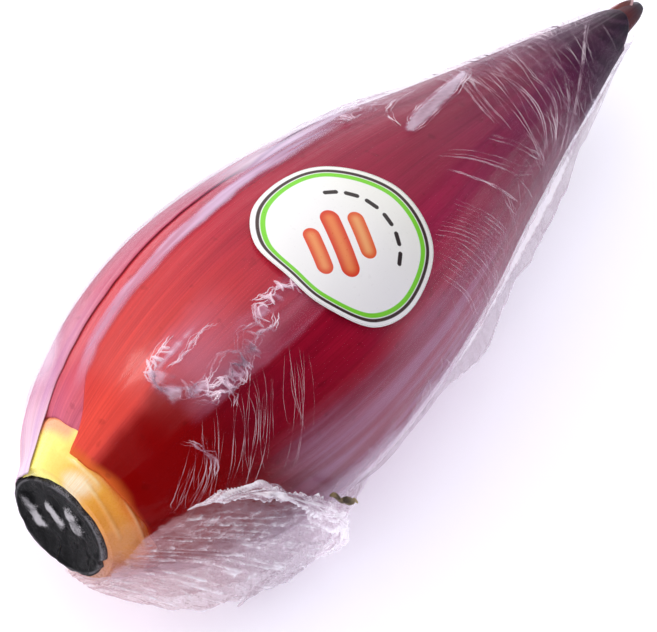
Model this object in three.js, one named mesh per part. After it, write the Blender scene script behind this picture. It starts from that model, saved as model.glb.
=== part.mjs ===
// A banana blossom, as picked and sold: a short cut stalk, overlapping bracts round a closed bud, a clear film
// wrap gathered at one side, and a sticker on the film. It lies on its side.
//
// Millimetres, +Z up. +X runs along the blossom from the stalk to the tip. The origin is on the surface, under
// the middle of the blossom. Every shape is worked out in the blossom's own measures: s is the distance from
// the cut face along the axis, angle is the direction round the axis in degrees, 0 at the top and growing
// towards +Y, and radius is the distance from the axis.
import * as THREE from "three";

// Driving dimensions
const LENGTH = 280; // cut face to the very tip
const REST_S = 100; // where the flat spot lies along the axis, under the weight
const AXIS_HEIGHT = 48.8; // of the axis above the surface, at the flat spot
const AXIS_SLOPE = 0.08; // the tip hangs lower than the stalk
const AXIS_BOW = 5; // the axis bends up this much between its ends
const AXIS_Y = 1.8; // of the axis from the middle of the whole
const STALK_BEND = 1.8; // the axis bends this far towards +Y at the cut
const GAP = 0.6; // between neighbouring pieces
const BRACT = 2.2; // thickness of a bract in its middle
const MARGIN = 0.8; // thickness of a bract's edge
const FILM = 0.7; // thickness of the film where it lies flat, doubled layers included
const TWIST = 62; // how far the bracts turn about the axis towards the tip, in degrees
const CUT_CRUST = 1.6; // depth of the dried black layer on the cut face
const CUT_RADIUS = 18;
const CUT_SLOPE = 0.12; // the cut isn't quite square: its top lies further along than its bottom

// Radius of the closed blossom and of its bud, at distances from the cut face
const BODY = curve([
  [0, 18.3], [14, 28], [30, 37.5], [55, 46.2], [85, 49.8], [120, 46.8], [155, 39.2],
  [185, 29.6], [215, 20.8], [240, 14], [255, 9.6], [264, 7.2], [270, 5.6], [276, 4.4], [LENGTH, 3.4],
]);
const BUD = curve([
  [60, 35], [88, 38.6], [120, 35.8], [155, 28.6], [185, 21], [215, 14.2], [240, 8.3],
  [250, 5.8], [258, 4.8], [264, 3.9], [270, 3], [277, 2.2], [LENGTH, 0.8],
]);
// Full thickness of a bract along its length, thin at the base and towards the tip
const THICKNESS = curve([
  [0, 0.9], [14, 1.1], [50, BRACT], [140, BRACT], [215, 1.1], [240, MARGIN], [LENGTH, MARGIN],
]);

// The bracts, from the outermost inwards. base and tip are distances from the cut face, and slant is how much
// further from it the base's left corner is than its right one. left and right are the angles of the edges,
// at the base and then along the middle. blunt is the length over which the end rounds off.
const BRACTS = [
  { name: "bract_front", color: "#a3243a", base: 14, slant: -5, tip: 269, blunt: 22,
    left: [7, 25], right: [-150, -165] },
  { name: "bract_under", color: "#6e1a33", base: 17, slant: -4, tip: 262, blunt: 40,
    left: [-95, -100], right: [-248, -240] },
  { name: "bract_back", color: "#c8566a", base: 7, slant: 4, tip: 258, blunt: 50,
    left: [176, 190], right: [36, 39] },
  { name: "bract_top", color: "#c44436", base: 18, slant: 0, tip: 250, blunt: 60,
    left: [92, 100], right: [-12, -30] },
  { name: "bract_inner", color: "#8c3434", base: 62, slant: 0, tip: 277, blunt: 30,
    left: [10, 20], right: [-90, -100] },
];

const radians = THREE.MathUtils.degToRad;
const { lerp, clamp, smoothstep } = THREE.MathUtils;

// A smooth curve through a few stations, as a function of the distance along the axis.
function curve(stations) {
  const spline = new THREE.CubicInterpolant(stations.map((p) => p[0]), stations.map((p) => p[1]), 1);
  return (s) => spline.evaluate(s)[0];
}

// How far an angle is from another, going the shorter way round.
const turned = (angle, from) => Math.abs(THREE.MathUtils.euclideanModulo(angle - from + 180, 360) - 180);

// Height of the axis above the surface.
function axisHeight(s) {
  const bow = (x) => AXIS_BOW * (1 - ((2 * x) / LENGTH - 1) ** 2);
  return AXIS_HEIGHT - AXIS_SLOPE * (s - REST_S) + bow(s) - bow(REST_S);
}

// Distance of the axis from the middle plane.
function axisSide(s) {
  const BEND_LENGTH = 50;
  return AXIS_Y + STALK_BEND * clamp(1 - s / BEND_LENGTH, 0, 1) ** 2;
}

function point(s, angle, radius) {
  const [y, z] = [radius * Math.sin(radians(angle)), radius * Math.cos(radians(angle))];
  return new THREE.Vector3(s - LENGTH / 2, axisSide(s) + y, axisHeight(s) + z);
}

// A radius, kept above a level plane.
function above(height, s, angle, radius) {
  const down = -Math.cos(radians(angle));
  return down > 0 ? Math.min(radius, (axisHeight(s) - height) / down) : radius;
}

// The closed blossom's outer radius, not quite round, at a distance outside it.
function envelope(s, angle, out = 0) {
  const uneven = 1 + 0.014 * Math.cos(radians(2 * angle - 50)) + 0.01 * Math.cos(radians(3 * angle + 0.5 * s));
  return above(FILM + GAP - out, s, angle, BODY(s) * uneven + out);
}

// Joins closed loops of points into one solid. In each loop, the points k and -1 - k are partners across the
// piece, and they close the two ends. When the row of loops closes on itself, partner loops take that part.
// Faces that are partners are split alike.
function sweep(loops, closed = false) {
  const size = loops[0].length;
  const at = (row, k) => (row % loops.length) * size + (k % size);
  const index = [];
  for (let row = 0; row < loops.length - (closed ? 0 : 1); row++)
    for (let k = 0; k < size; k++) {
      const [a, b, c, d] = [at(row, k), at(row, k + 1), at(row + 1, k + 1), at(row + 1, k)];
      const first = closed ? row < loops.length / 2 : k < size / 2;
      index.push(...(first ? [a, b, c, a, c, d] : [a, b, d, b, c, d]));
    }
  if (!closed)
    for (const [row, order] of [[0, [0, 2, 1, 0, 3, 2]], [loops.length - 1, [0, 1, 2, 0, 2, 3]]])
      for (let k = 0; k < size / 2 - 1; k++) {
        const corners = [at(row, k), at(row, k + 1), at(row, size - 2 - k), at(row, size - 1 - k)];
        index.push(...order.map((corner) => corners[corner]));
      }
  const geometry = new THREE.BufferGeometry().setFromPoints(loops.flat());
  geometry.setIndex(index);
  geometry.computeVertexNormals();
  return geometry;
}

const solid = new THREE.Group();
function add(name, geometry, color, roughness, opacity = 1) {
  const material = new THREE.MeshStandardMaterial({ color, roughness, metalness: 0, opacity });
  material.transparent = opacity < 1;
  const mesh = new THREE.Mesh(geometry, material);
  mesh.name = name;
  solid.add(mesh);
}

// Distances along the axis at which every piece has a row of points, closer together at both ends.
const ROWS = [
  0, 5, 10, 17, 25, 34, 45, 58, 74, 92, 110, 130, 150,
  170, 188, 205, 220, 233, 244, 253, 260, 266, 271, 276, 280,
];
const rowsBetween = (from, to) => [from, ...ROWS.filter((s) => s > from + 2.5 && s < to - 2.5), to];
const evenAngles = (count) => Array.from({ length: count }, (_, k) => (-360 * k) / count);

// Bracts

// The turn of all the bracts about the axis, which grows towards the tip.
const twist = (s) => TWIST * smoothstep(s, 120, 215);

// The middle of a bract and half its reach, as angles. It opens out above its base, and its end is round.
function span(bract, s) {
  const OPENING = 26;
  const NARROWEST = 0.12;
  const open = smoothstep(s, bract.base, bract.base + OPENING);
  const left = lerp(...bract.left, open);
  const right = lerp(...bract.right, open);
  const end = clamp((s - bract.tip + bract.blunt) / bract.blunt, 0, 1);
  const half = ((left - right) / 2) * Math.max(Math.sqrt(1 - end ** 2.2), NARROWEST);
  return { middle: (left + right) / 2 + twist(s), half };
}

// How much room a bract takes from those beneath it, with the gap: none outside its edges, and all of its
// thickness well inside them.
const RAMP = 22; // a bract's edge thickens over this many degrees
function cover(bract, s, angle) {
  const [NEAR, FAR] = [10, 24]; // degrees outside an edge at which the room is made, and at which it begins
  const TIP_ROOM = 6; // beyond the tip
  const beyond = TIP_ROOM * smoothstep(s, bract.tip - bract.blunt - 20, bract.tip - bract.blunt);
  const { middle, half } = span(bract, s - beyond);
  const inside = half - turned(angle, middle);
  const along = smoothstep(s, bract.base - 9, bract.base - 3) * smoothstep(bract.tip + 11 - s, 0, 7);
  const thin = (MARGIN + GAP) * smoothstep(inside, -FAR, -NEAR);
  return along * (thin + Math.max(THICKNESS(s) - MARGIN, 0) * smoothstep(inside, -NEAR, RAMP - NEAR));
}

// The radius that is left at a place beneath some of the bracts.
const beneath = (bracts, s, angle) =>
  bracts.reduce((radius, bract) => radius - cover(bract, s, angle), envelope(s, angle));

function bractLoop(bract, row) {
  const ACROSS = 14;
  const over = BRACTS.slice(0, BRACTS.indexOf(bract));
  const SLANT_LENGTH = 40;
  const { middle, half } = span(bract, row);
  const [outer, inner] = [[], []];
  for (let k = 0; k <= ACROSS; k++) {
    const across = 1 - (2 * k) / ACROSS;
    const angle = middle + half * across;
    const s = row + (bract.slant / 2) * across * clamp(1 - (row - bract.base) / SLANT_LENGTH, 0, 1);
    const inside = smoothstep(half * (1 - Math.abs(across)), 0, RAMP);
    const thick = lerp(MARGIN, Math.max(THICKNESS(s), MARGIN), inside);
    const radius = beneath(over, s, angle);
    outer.push(point(s, angle, radius));
    inner.unshift(point(s, angle, radius - thick));
  }
  return [...outer, ...inner];
}

for (const bract of BRACTS) {
  const nearTip = [bract.tip - 0.3 * bract.blunt, bract.tip - 0.1 * bract.blunt, bract.tip];
  const rows = [...rowsBetween(bract.base, nearTip[0]), ...nearTip.slice(1)];
  add(bract.name, sweep(rows.map((s) => bractLoop(bract, s))), bract.color, 0.4);
}

// Stalk, the dried crust on its cut, and the bud: the inner bracts, closed round each other

const ROUND = evenAngles(28);
const ring = (s, radiusAt) => ROUND.map((angle) => point(s, angle, radiusAt(angle)));

// A ring near the cut leans with it.
function leaningRing(row, radiusAt) {
  const LEAN_LENGTH = 14;
  const lean = CUT_SLOPE * clamp(1 - row / LEAN_LENGTH, 0, 1);
  return ROUND.map((angle) => {
    const s = row + lean * (CUT_RADIUS + radiusAt(row, angle) * Math.cos(radians(angle)));
    return point(s, angle, radiusAt(s, angle));
  });
}
const [STALK_END, BUD_START] = [57, 60];
add("bud", sweep(rowsBetween(BUD_START, LENGTH).map((s) => ring(s, () => BUD(s)))), "#6b2a2c", 0.5);
const stalkRing = (row) => leaningRing(row, (s, angle) => beneath(BRACTS, s, angle));
add("stalk", sweep(rowsBetween(CUT_CRUST + GAP, STALK_END).map(stalkRing)), "#f2b84a", 0.45);

const ragged = (angle) => 1 + 0.02 * Math.cos(radians(5 * angle)) + 0.012 * Math.cos(radians(9 * angle + 70));
// From the middle of the cut to its back: distances from the cut, and parts of its radius
const CRUST = [[0.5, 0.4], [0.3, 0.78], [0, 0.93], [0.5, 0.985], [CUT_CRUST, 1]];
const crustRing = ([row, part]) => leaningRing(row, (s, angle) => CUT_RADIUS * part * ragged(angle));
add("cut_crust", sweep(CRUST.map(crustRing)), "#26282a", 0.3);

// Film wrap: one tube of film with open ends. Its spare width is gathered on the lower right of the stalk end,
// down to the surface, and stands out as a fin from there to the tip.

const FILM_START = 19;
const FILM_END = 267;
// The bunch: its middle and reach round the axis, how far it stands out, its extra layers and its pleats
const BUNCH = { angle: -138, reach: 55, out: 14.5, layers: 2.4, pleat: 1.8 };
// The fin: its middle and reach round the axis, and its height near the bunch and beyond it
const FIN = { angle: -117, reach: 5, low: 2.5, high: 8 };

// How far the film stands off the bracts where it is bunched, and at the fin.
function bunched(s, angle) {
  const PLEATS = 20; // all the way round
  const along = smoothstep(s, -12, 22) * smoothstep(98 - s, 0, 50);
  const round = smoothstep(BUNCH.reach - turned(angle, BUNCH.angle), 0, BUNCH.reach);
  return along * round * (BUNCH.out + BUNCH.pleat * Math.cos(radians(PLEATS * angle)));
}
function fin(s, angle) {
  const along = smoothstep(s, 75, 95) * smoothstep(275 - s, 0, 85);
  const height = lerp(FIN.low, FIN.high, smoothstep(s, 120, 150));
  return height * along * Math.max(1 - turned(angle, FIN.angle) / FIN.reach, 0);
}

function filmOuter(s, angle) {
  return above(0, s, angle, envelope(s, angle, GAP + FILM) + bunched(s, angle) + fin(s, angle));
}
function filmInner(s, angle) {
  const layers = BUNCH.layers * smoothstep(bunched(s, angle), 0, 8);
  const hanging = above(FILM + layers, s, angle, envelope(s, angle, GAP) + bunched(s, angle) - layers);
  return Math.max(hanging, envelope(s, angle, GAP));
}

function filmLoops() {
  const beside = [-1, -0.5, 0.5, 1].map((step) => FIN.angle + FIN.reach * step);
  const angles = [...evenAngles(40), ...beside].sort((a, b) => b - a);
  // The mouth round the stalk comes forward to the cut where the film is gathered.
  const FORWARD = { distance: 17, angle: -128, reach: 66, length: 40 };
  const forward = (row, angle) =>
    -FORWARD.distance * smoothstep(FORWARD.reach - turned(angle, FORWARD.angle), 0, 50) *
    clamp(1 - (row - FILM_START) / FORWARD.length, 0, 1);
  const rows = rowsBetween(FILM_START, FILM_END);
  const loop = (row, radiusAt) =>
    angles.map((angle) => {
      const s = row + forward(row, angle);
      return point(s, angle, radiusAt(s, angle));
    });
  const outside = rows.map((row) => loop(row, filmOuter));
  const inside = rows.map((row) => loop(row, filmInner));
  return [...outside, ...inside.reverse()];
}
add("film", sweep(filmLoops(), true), "#e6dfe6", 0.15, 0.3);

// Sticker on the film. Its outline is in distances from its middle, along the blossom and round it.
const STICKER = { s: 110.6, angle: -21, thickness: 0.6 };
const STICKER_OUTLINE = [
  [-22, -9], [-12, -25], [5, -29], [24, -19], [29.5, 1.5],
  [19, 22], [5, 29.3], [-11, 28], [-22, 18], [-23.5, 4],
];

function stickerLoop(scale, lift) {
  const outline = new THREE.CatmullRomCurve3(STICKER_OUTLINE.map(([u, w]) => new THREE.Vector3(u, w, 0)), true);
  return outline.getSpacedPoints(28).slice(1).map(({ x, y }) => {
    const s = STICKER.s + scale * x;
    const angle = STICKER.angle + THREE.MathUtils.radToDeg((scale * y) / BODY(s));
    return point(s, angle, filmOuter(s, angle) + lift);
  });
}
const [UNDERSIDE, FACE] = [GAP, GAP + STICKER.thickness];
const stickerLoops = [
  ...[0.05, 0.4, 0.72, 1].map((scale) => stickerLoop(scale, UNDERSIDE)),
  ...[1, 0.72, 0.4, 0.05].map((scale) => stickerLoop(scale, FACE)),
];
add("sticker", sweep(stickerLoops), "#f6f6f2", 0.35);

// Dried scrap of a floret, lying on the gathered film
function scrapLoop(step) {
  const [s, angle] = [62 + 11 * step, -92 - 3 * Math.sin(Math.PI * step)];
  const half = 0.5 + 1.3 * Math.sin(Math.PI * step) ** 0.6;
  return evenAngles(6).map((turn) =>
    point(
      s,
      angle + THREE.MathUtils.radToDeg((half * Math.sin(radians(turn))) / BODY(s)),
      filmOuter(s, angle) + GAP + half + half * Math.cos(radians(turn)),
    ),
  );
}
add("floret_scrap", sweep([0, 0.2, 0.5, 0.8, 1].map(scrapLoop)), "#6b5530", 0.8);

export default solid;
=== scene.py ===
"""A banana blossom in clear film: the looks of its stalk, bracts, film and sticker, and its stage."""

import math

import bpy
import numpy as np
from mathutils import Matrix, Vector


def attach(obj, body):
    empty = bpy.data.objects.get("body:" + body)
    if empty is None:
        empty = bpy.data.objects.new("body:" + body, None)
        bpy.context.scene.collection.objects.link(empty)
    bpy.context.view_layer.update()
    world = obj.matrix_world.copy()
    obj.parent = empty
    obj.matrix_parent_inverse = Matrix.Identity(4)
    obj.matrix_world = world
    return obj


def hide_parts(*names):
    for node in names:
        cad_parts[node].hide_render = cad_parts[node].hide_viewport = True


bl_info = {
    "name": "Banana blossom",
    "version": (1, 0, 0),
    "blender": (4, 5, 0),
    "location": "View3D > Sidebar > Blossom",
    "description": "Builds a film-wrapped banana blossom round its packed solids",
    "category": "Object",
}

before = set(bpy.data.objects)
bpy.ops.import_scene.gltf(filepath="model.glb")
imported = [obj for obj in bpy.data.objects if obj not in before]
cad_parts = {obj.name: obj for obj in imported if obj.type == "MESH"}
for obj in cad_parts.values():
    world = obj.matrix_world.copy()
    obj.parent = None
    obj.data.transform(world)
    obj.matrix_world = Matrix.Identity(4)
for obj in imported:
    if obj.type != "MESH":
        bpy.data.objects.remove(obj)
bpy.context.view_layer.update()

# Sizes, in millimetres: the same as the solids'. s is the distance from the cut face along the axis, and an
# angle goes round the axis in degrees, 0 at the top and growing towards +Y.
MM = 0.001
LENGTH = 280
REST_S = 100
AXIS_HEIGHT = 48.8
AXIS_SLOPE = 0.08
AXIS_BOW = 5
AXIS_Y = 1.8
STALK_BEND = 1.8
BEND_LENGTH = 50
GAP = 0.6
BRACT = 2.2
MARGIN = 0.8
EDGE = 0.3
EDGE_GAP = 0.12
ROUND_OFF = 1.1  # the distance from an edge over which a bract's margin rounds off
LEAST = 0.2  # the thickness of a bract at its very edge
FILM = 0.7
TWIST = 62
CUT_RADIUS = 18
CUT_SLOPE = 0.12
CUT_CRUST = 1.6
OPENING = 26  # the length over which a bract comes to its full reach
TWISTED = (120, 215)  # the distances between which the bracts turn round the bud
# How the closed blossom isn't round: how much, the lobes round it, their turn along it and where they begin
UNEVEN = [(0.014, 2, 0, -50), (0.01, 3, 0.5, 0)]
# Where the far side draws in behind the cut
WAIST = dict(depth=2.4, s=8.5, length=6, angle=84, reach=52, ramp=26)


def smoothstep(value, low, high):
    part = np.clip((value - low) / (high - low), 0, 1)
    return part * part * (3 - 2 * part)


def lerp(low, high, part):
    return low + (high - low) * part


def curve(stations):
    """A smooth curve through a few stations, as a function of the distance along the axis."""
    at, value = np.array(stations, float).T
    chords = np.diff(value) / np.diff(at)
    slopes = np.concatenate([chords[:1], (chords[1:] + chords[:-1]) / 2, chords[-1:]])

    def read(s):
        s = np.clip(s, at[0], at[-1])
        k = np.clip(np.searchsorted(at, s, side="right") - 1, 0, len(at) - 2)
        width = at[k + 1] - at[k]
        p = (s - at[k]) / width
        ends = (1 + 2 * p) * (1 - p) ** 2 * value[k] + p * p * (3 - 2 * p) * value[k + 1]
        return ends + width * (p * (1 - p) ** 2 * slopes[k] - p * p * (1 - p) * slopes[k + 1])

    return read


BODY = curve(
    [(0, 18.3), (14, 28), (30, 37.5), (55, 46.2), (85, 49.8), (120, 46.8), (155, 39.2), (185, 29.6)]
    + [(215, 20.8), (240, 14), (255, 9.6), (264, 7.2), (270, 5.6), (276, 4.4), (LENGTH, 3.4)]
)
BUD = curve(
    [(60, 35), (88, 38.6), (120, 35.8), (155, 28.6), (185, 21), (215, 14.2), (240, 8.3)]
    + [(250, 6.3), (258, 5.7), (264, 5.3), (270, 4.6), (276, 3.5), (LENGTH, 1.5)]
)
THICKNESS = curve(
    [(0, 0.9), (14, 1.1), (50, BRACT), (140, BRACT), (215, 1.1), (240, MARGIN), (LENGTH, MARGIN)]
)
# Each piece's rows and columns of faces, its material slot and the node that it stands for, if any. The
# pinched folds are built from their paths and have no rows or columns. The tight film stands for the film's
# node, and the other pieces of film only go with it.
PIECES = {
    "stalk_skin": (110, 160, "stalk", "stalk"),
    "cut_face": (84, 160, "cut_crust", "cut_crust"),
    "bract_front_blade": (280, 240, "bract_outer", "bract_front"),
    "bract_under_blade": (160, 130, "bract_dark", "bract_under"),
    "bract_back_blade": (200, 160, "bract_outer", "bract_back"),
    "bract_top_blade": (200, 160, "bract_coral", "bract_top"),
    "bract_inner_blade": (160, 130, "bract_tip", "bract_inner"),
    "bud_point": (160, 72, "bract_tip", "bud"),
    "film_wrap": (420, 216, "film", "film"),
    "film_folds": (None, None, "film", None),
    "film_crumples": (None, None, "film", None),
    "film_gather_1": (230, 200, "film", None),
    "film_gather_2": (230, 200, "film", None),
    "film_roll": (360, 34, "film", None),
    "film_strand": (120, 16, "film", None),
    "film_fin": (420, 28, "film", None),
    "round_sticker": (90, 160, "sticker", "sticker"),
    "dry_floret": (40, 24, "scrap", "floret_scrap"),
}
# From the outermost inwards. left and right are the angles of a bract's edges, at its base and along it.
BRACTS = {
    "bract_front": dict(base=14, slant=-5, tip=269, blunt=22, left=(7, 25), right=(-150, -165)),
    "bract_under": dict(base=17, slant=-4, tip=262, blunt=40, left=(-95, -100), right=(-248, -240)),
    "bract_back": dict(base=5, slant=4, tip=258, blunt=50, left=(176, 190), right=(36, 39)),
    "bract_top": dict(base=18, slant=0, tip=250, blunt=60, left=(92, 100), right=(-12, -30)),
    "bract_inner": dict(base=62, slant=0, tip=277, blunt=30, left=(10, 20), right=(-90, -100)),
}


def closed(along, radius):
    """A radius that comes down to a pole at both ends."""
    return np.where((along < 0.0001) | (along > 0.9999), 0, radius)


def turned(angle, other):
    """How far an angle is from another, going the shorter way round."""
    return np.abs((angle - other + 180) % 360 - 180)


def axis_height(s):
    def bow(x):
        return AXIS_BOW * (1 - (2 * x / LENGTH - 1) ** 2)

    return AXIS_HEIGHT - AXIS_SLOPE * (s - REST_S) + bow(s) - bow(REST_S)


def axis_side(s):
    return AXIS_Y + STALK_BEND * np.clip(1 - s / BEND_LENGTH, 0, 1) ** 2


def points(s, angle, radius):
    """Places in metres, one a row."""
    round_it = np.radians(angle)
    y = axis_side(s) + radius * np.sin(round_it)
    z = axis_height(s) + radius * np.cos(round_it)
    return np.stack([s - LENGTH / 2 + 0 * y, y, z], axis=-1) * MM


def above(height, s, angle, radius):
    """A radius, kept above a level plane."""
    down = -np.cos(np.radians(angle))
    limit = (axis_height(s) - height) / np.maximum(down, 1e-6)
    return np.where(down > 1e-6, np.minimum(radius, limit), radius)


def waist(s, angle):
    """How far the far side draws in behind the cut."""
    near = smoothstep(WAIST["reach"] - turned(angle, WAIST["angle"]), 0, WAIST["ramp"])
    return WAIST["depth"] * np.exp(-(((s - WAIST["s"]) / WAIST["length"]) ** 2)) * near


def envelope(s, angle, out=0.0):
    """The closed blossom's outer radius, not quite round, at a distance outside it."""
    uneven = 1
    for much, lobes, turn, begin in UNEVEN:
        uneven = uneven + much * np.cos(np.radians(lobes * angle + turn * s + begin))
    return above(FILM + GAP - out, s, angle, BODY(s) * uneven + out - waist(s, angle))


def span(bract, s):
    """The middle of a bract and half its reach, as angles."""
    opening = smoothstep(s, bract["base"], bract["base"] + OPENING)
    left = lerp(*bract["left"], opening)
    right = lerp(*bract["right"], opening)
    end = np.clip((s - bract["tip"] + bract["blunt"]) / bract["blunt"], 0, 1)
    bluntness, least = 2.2, 0.12
    half = (left - right) / 2 * np.maximum(np.sqrt(1 - end**bluntness), least)
    return (left + right) / 2 + TWIST * smoothstep(s, *TWISTED), half


def cover(bract, s, angle):
    """How much room a bract takes from those beneath it."""
    near, far, ramp = 3, 9, 22
    start = bract["tip"] - bract["blunt"]
    middle, half = span(bract, s - 6 * smoothstep(s, start - 20, start))
    inside = half - turned(angle, middle)
    along = smoothstep(s, bract["base"] - 9, bract["base"] - 3)
    along = along * smoothstep(bract["tip"] + 11 - s, 0, 7)
    thin = (EDGE + EDGE_GAP) * smoothstep(inside, -far, -near)
    thick = np.maximum(THICKNESS(s), MARGIN) + GAP - EDGE - EDGE_GAP
    return along * (thin + thick * smoothstep(inside, -near, ramp - near))


def beneath(bracts, s, angle):
    """The radius that is left at a place beneath some of the bracts."""
    return envelope(s, angle) - sum(cover(bract, s, angle) for bract in bracts)


# Seeded unevenness


def swell(u, v, seed):
    """Smooth unevenness between -1 and 1, about one bump a unit."""
    size = 61
    table = np.random.default_rng(seed).uniform(-1, 1, (size, size))
    i, j = np.floor(u).astype(int), np.floor(v).astype(int)
    p, q = u - i, v - j
    p, q = p * p * (3 - 2 * p), q * q * (3 - 2 * q)

    def at(a, b):
        return table[(i + a) % size, (j + b) % size]

    low = lerp(at(0, 0), at(1, 0), p)
    return lerp(low, lerp(at(0, 1), at(1, 1), p), q)


def creases(u, v, seed, layers=3):
    """Sharp-ridged unevenness between 0 and 1, as in crumpled film."""
    total, share, much = 0.0, 0.0, 1.0
    for k in range(layers):
        bent = 0.35 * swell(u * 0.7 + 5, v * 0.7, seed + 20 + k)
        total = total + much * (1 - np.abs(swell(u + bent, v - bent, seed + k))) ** 3
        share += much
        u, v, much = u * 1.9 + 3.1, v * 1.9 + 7.7, much * 0.55
    return total / share


# Meshes


def alone():
    """Nothing is selected, and no object is in edit mode."""
    if bpy.context.object and bpy.context.object.mode != "OBJECT":
        bpy.ops.object.mode_set(mode="OBJECT")
    bpy.ops.object.select_all(action="DESELECT")


def grid_piece(name, place, flip=False):
    """A primitive grid whose points a rule puts in place, with its seams and poles closed.

    The rule gets two shares between 0 and 1, along and across. It returns places, and for the materials
    a measure along, a measure round and a third number.
    """
    alone()
    rows, columns = PIECES[name][:2]
    bpy.ops.mesh.primitive_grid_add(x_subdivisions=columns, y_subdivisions=rows, size=2)
    piece = bpy.context.object
    piece.name = piece.data.name = name
    mesh = piece.data
    flat = np.zeros(len(mesh.vertices) * 3)
    mesh.vertices.foreach_get("co", flat)
    flat = flat.reshape(-1, 3)
    across, along = (flat[:, 0] + 1) / 2, (flat[:, 1] + 1) / 2
    places, measures = place(along, across)
    mesh.vertices.foreach_set("co", places.astype(np.float32).ravel())
    corner = np.zeros(len(mesh.loops), int)
    mesh.loops.foreach_get("vertex_index", corner)
    kept = mesh.attributes.new("measures", "FLOAT_VECTOR", "CORNER")
    values = np.stack(np.broadcast_arrays(*measures), axis=-1)[corner]
    kept.data.foreach_set("vector", values.astype(np.float32).ravel())
    bpy.ops.object.mode_set(mode="EDIT")
    bpy.ops.mesh.select_all(action="SELECT")
    bpy.ops.mesh.remove_doubles(threshold=2e-6)
    if flip:
        bpy.ops.mesh.flip_normals()
    bpy.ops.object.mode_set(mode="OBJECT")
    bpy.ops.object.shade_smooth()
    return piece


def dress(piece, material):
    """Gives a piece its material and its body, and hides the node that it stands for, if any."""
    slot, replaced = PIECES[piece.name][2:]
    piece.data.materials.clear()
    piece.data.materials.append(material)
    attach(piece, "root")
    if replaced:
        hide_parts(replaced)


# Materials


def tone(code):
    """A colour given as six hexadecimal digits, in linear light."""
    parts = [int(code[k : k + 2], 16) / 255 for k in (1, 3, 5)]
    return tuple(p / 12.92 if p <= 0.04045 else ((p + 0.055) / 1.055) ** 2.4 for p in parts) + (1,)


class Value:
    """What a node gives, for sums and products with another or with a number."""

    def __init__(self, socket):
        self.socket = socket

    def __add__(self, other):
        return math_of("ADD", self, other)

    def __sub__(self, number):
        return self + -number

    def __mul__(self, other):
        return math_of("MULTIPLY", self, other)

    def __truediv__(self, number):
        return self * (1 / number)


def feed(socket, value):
    """Links a Value to an input, or sets the input to a number or a colour, or leaves it for None."""
    if isinstance(value, Value):
        socket.id_data.links.new(value.socket, socket)
    elif value is not None:
        socket.default_value = tone(value) if isinstance(value, str) else value


def set_inputs(made, **values):
    for label, value in values.items():
        feed(made.inputs[label.replace("_", " ")], value)


def node(tree, kind, *inputs, **settings):
    made = tree.nodes.new(kind)
    for key, value in settings.items():
        setattr(made, key, value)
    for socket, value in zip(made.inputs, inputs):
        feed(socket, value)
    return made


def tree_of(*values):
    """The node tree that the first Value among some values is in."""
    return next(value.socket.id_data for value in values if isinstance(value, Value))


def math_of(operation, a, b=None):
    return Value(node(tree_of(a, b), "ShaderNodeMath", a, b, operation=operation).outputs[0])


def most(a, b):
    return math_of("MAXIMUM", a, b)


def root(value):
    return math_of("SQRT", value)


def coordinates(tree, kind):
    return Value(node(tree, "ShaderNodeTexCoord").outputs[kind])


def split(vector):
    """The three numbers of a vector."""
    return [Value(part) for part in node(tree_of(vector), "ShaderNodeSeparateXYZ", vector).outputs]


def noise_of(place, detail, scale=1, depth=None):
    """Noise at a place, in three dimensions, or in four where a depth is given."""
    dimensions = "3D" if depth is None else "4D"
    made = node(tree_of(place), "ShaderNodeTexNoise", place, depth, noise_dimensions=dimensions)
    set_inputs(made, Scale=scale, Detail=detail)
    return Value(made.outputs["Fac"])


def bar_distance(u, w, middle, turn, half):
    """The distance to a straight bar, given the bar's middle, its turn in degrees and half its length."""
    cos, sin = math.cos(math.radians(turn)), math.sin(math.radians(turn))
    du, dw = u - middle[0], w - middle[1]
    along = du * cos + dw * sin
    aside = dw * cos + du * -sin
    past = most(math_of("ABSOLUTE", along) - half, 0.0)
    return root(past * past + aside * aside)


def zone(value, low, high, first=0.0, last=1.0):
    """A soft step of a value, from low to high."""
    kind = "ShaderNodeMapRange"
    made = node(tree_of(value), kind, value, low, high, first, last, interpolation_type="SMOOTHSTEP")
    return Value(made.outputs[0])


def scaled(value, first, last):
    """A share between 0 and 1, taken to lie between two others."""
    return zone(value, 0.0, 1.0, first, last)


def within(value, start, full, fade, end):
    """1 from full to fade, and softly down to 0 at start and at end."""
    return zone(value, start, full) * zone(value, end, fade)


def blend(part, first, second, way="MIX"):
    """Two colours mixed."""
    made = node(tree_of(part, first, second), "ShaderNodeMix", data_type="RGBA", blend_type=way)
    for place, value in ((0, part), (6, first), (7, second)):
        feed(made.inputs[place], value)
    return Value(made.outputs[2])


def ramp(value, stops, reach=1):
    """A colour ramp of stops, each a position up to reach and a colour."""
    made = node(tree_of(value), "ShaderNodeValToRGB", value)
    elements = made.color_ramp.elements
    for _ in stops[2:]:
        elements.new(0.5)
    for element, (position, _) in zip(elements, stops):
        element.position = position / reach
    for element, (_, color) in zip(elements, stops):
        element.color = tone(color) if isinstance(color, str) else color
    return Value(made.outputs[0])


def new_group(name, inputs, outputs):
    """An empty shader node group with named sockets for values, what it is given, and its ends."""
    tree = bpy.data.node_groups.new(name, "ShaderNodeTree")
    for label, value in inputs.items():
        socket = tree.interface.new_socket(name=label, in_out="INPUT", socket_type="NodeSocketFloat")
        socket.default_value = value
    for label in outputs:
        tree.interface.new_socket(name=label, in_out="OUTPUT", socket_type="NodeSocketFloat")
    given = [Value(socket) for socket in node(tree, "NodeGroupInput").outputs]
    return tree, given, node(tree, "NodeGroupOutput").inputs


def use_group(tree, name, **values):
    """Places a group, with numbers or Values for its inputs by name, and gives its outputs by name."""
    made = node(tree, "ShaderNodeGroup", node_tree=bpy.data.node_groups[name])
    set_inputs(made, **values)
    return {socket.name: Value(socket) for socket in made.outputs}


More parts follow.
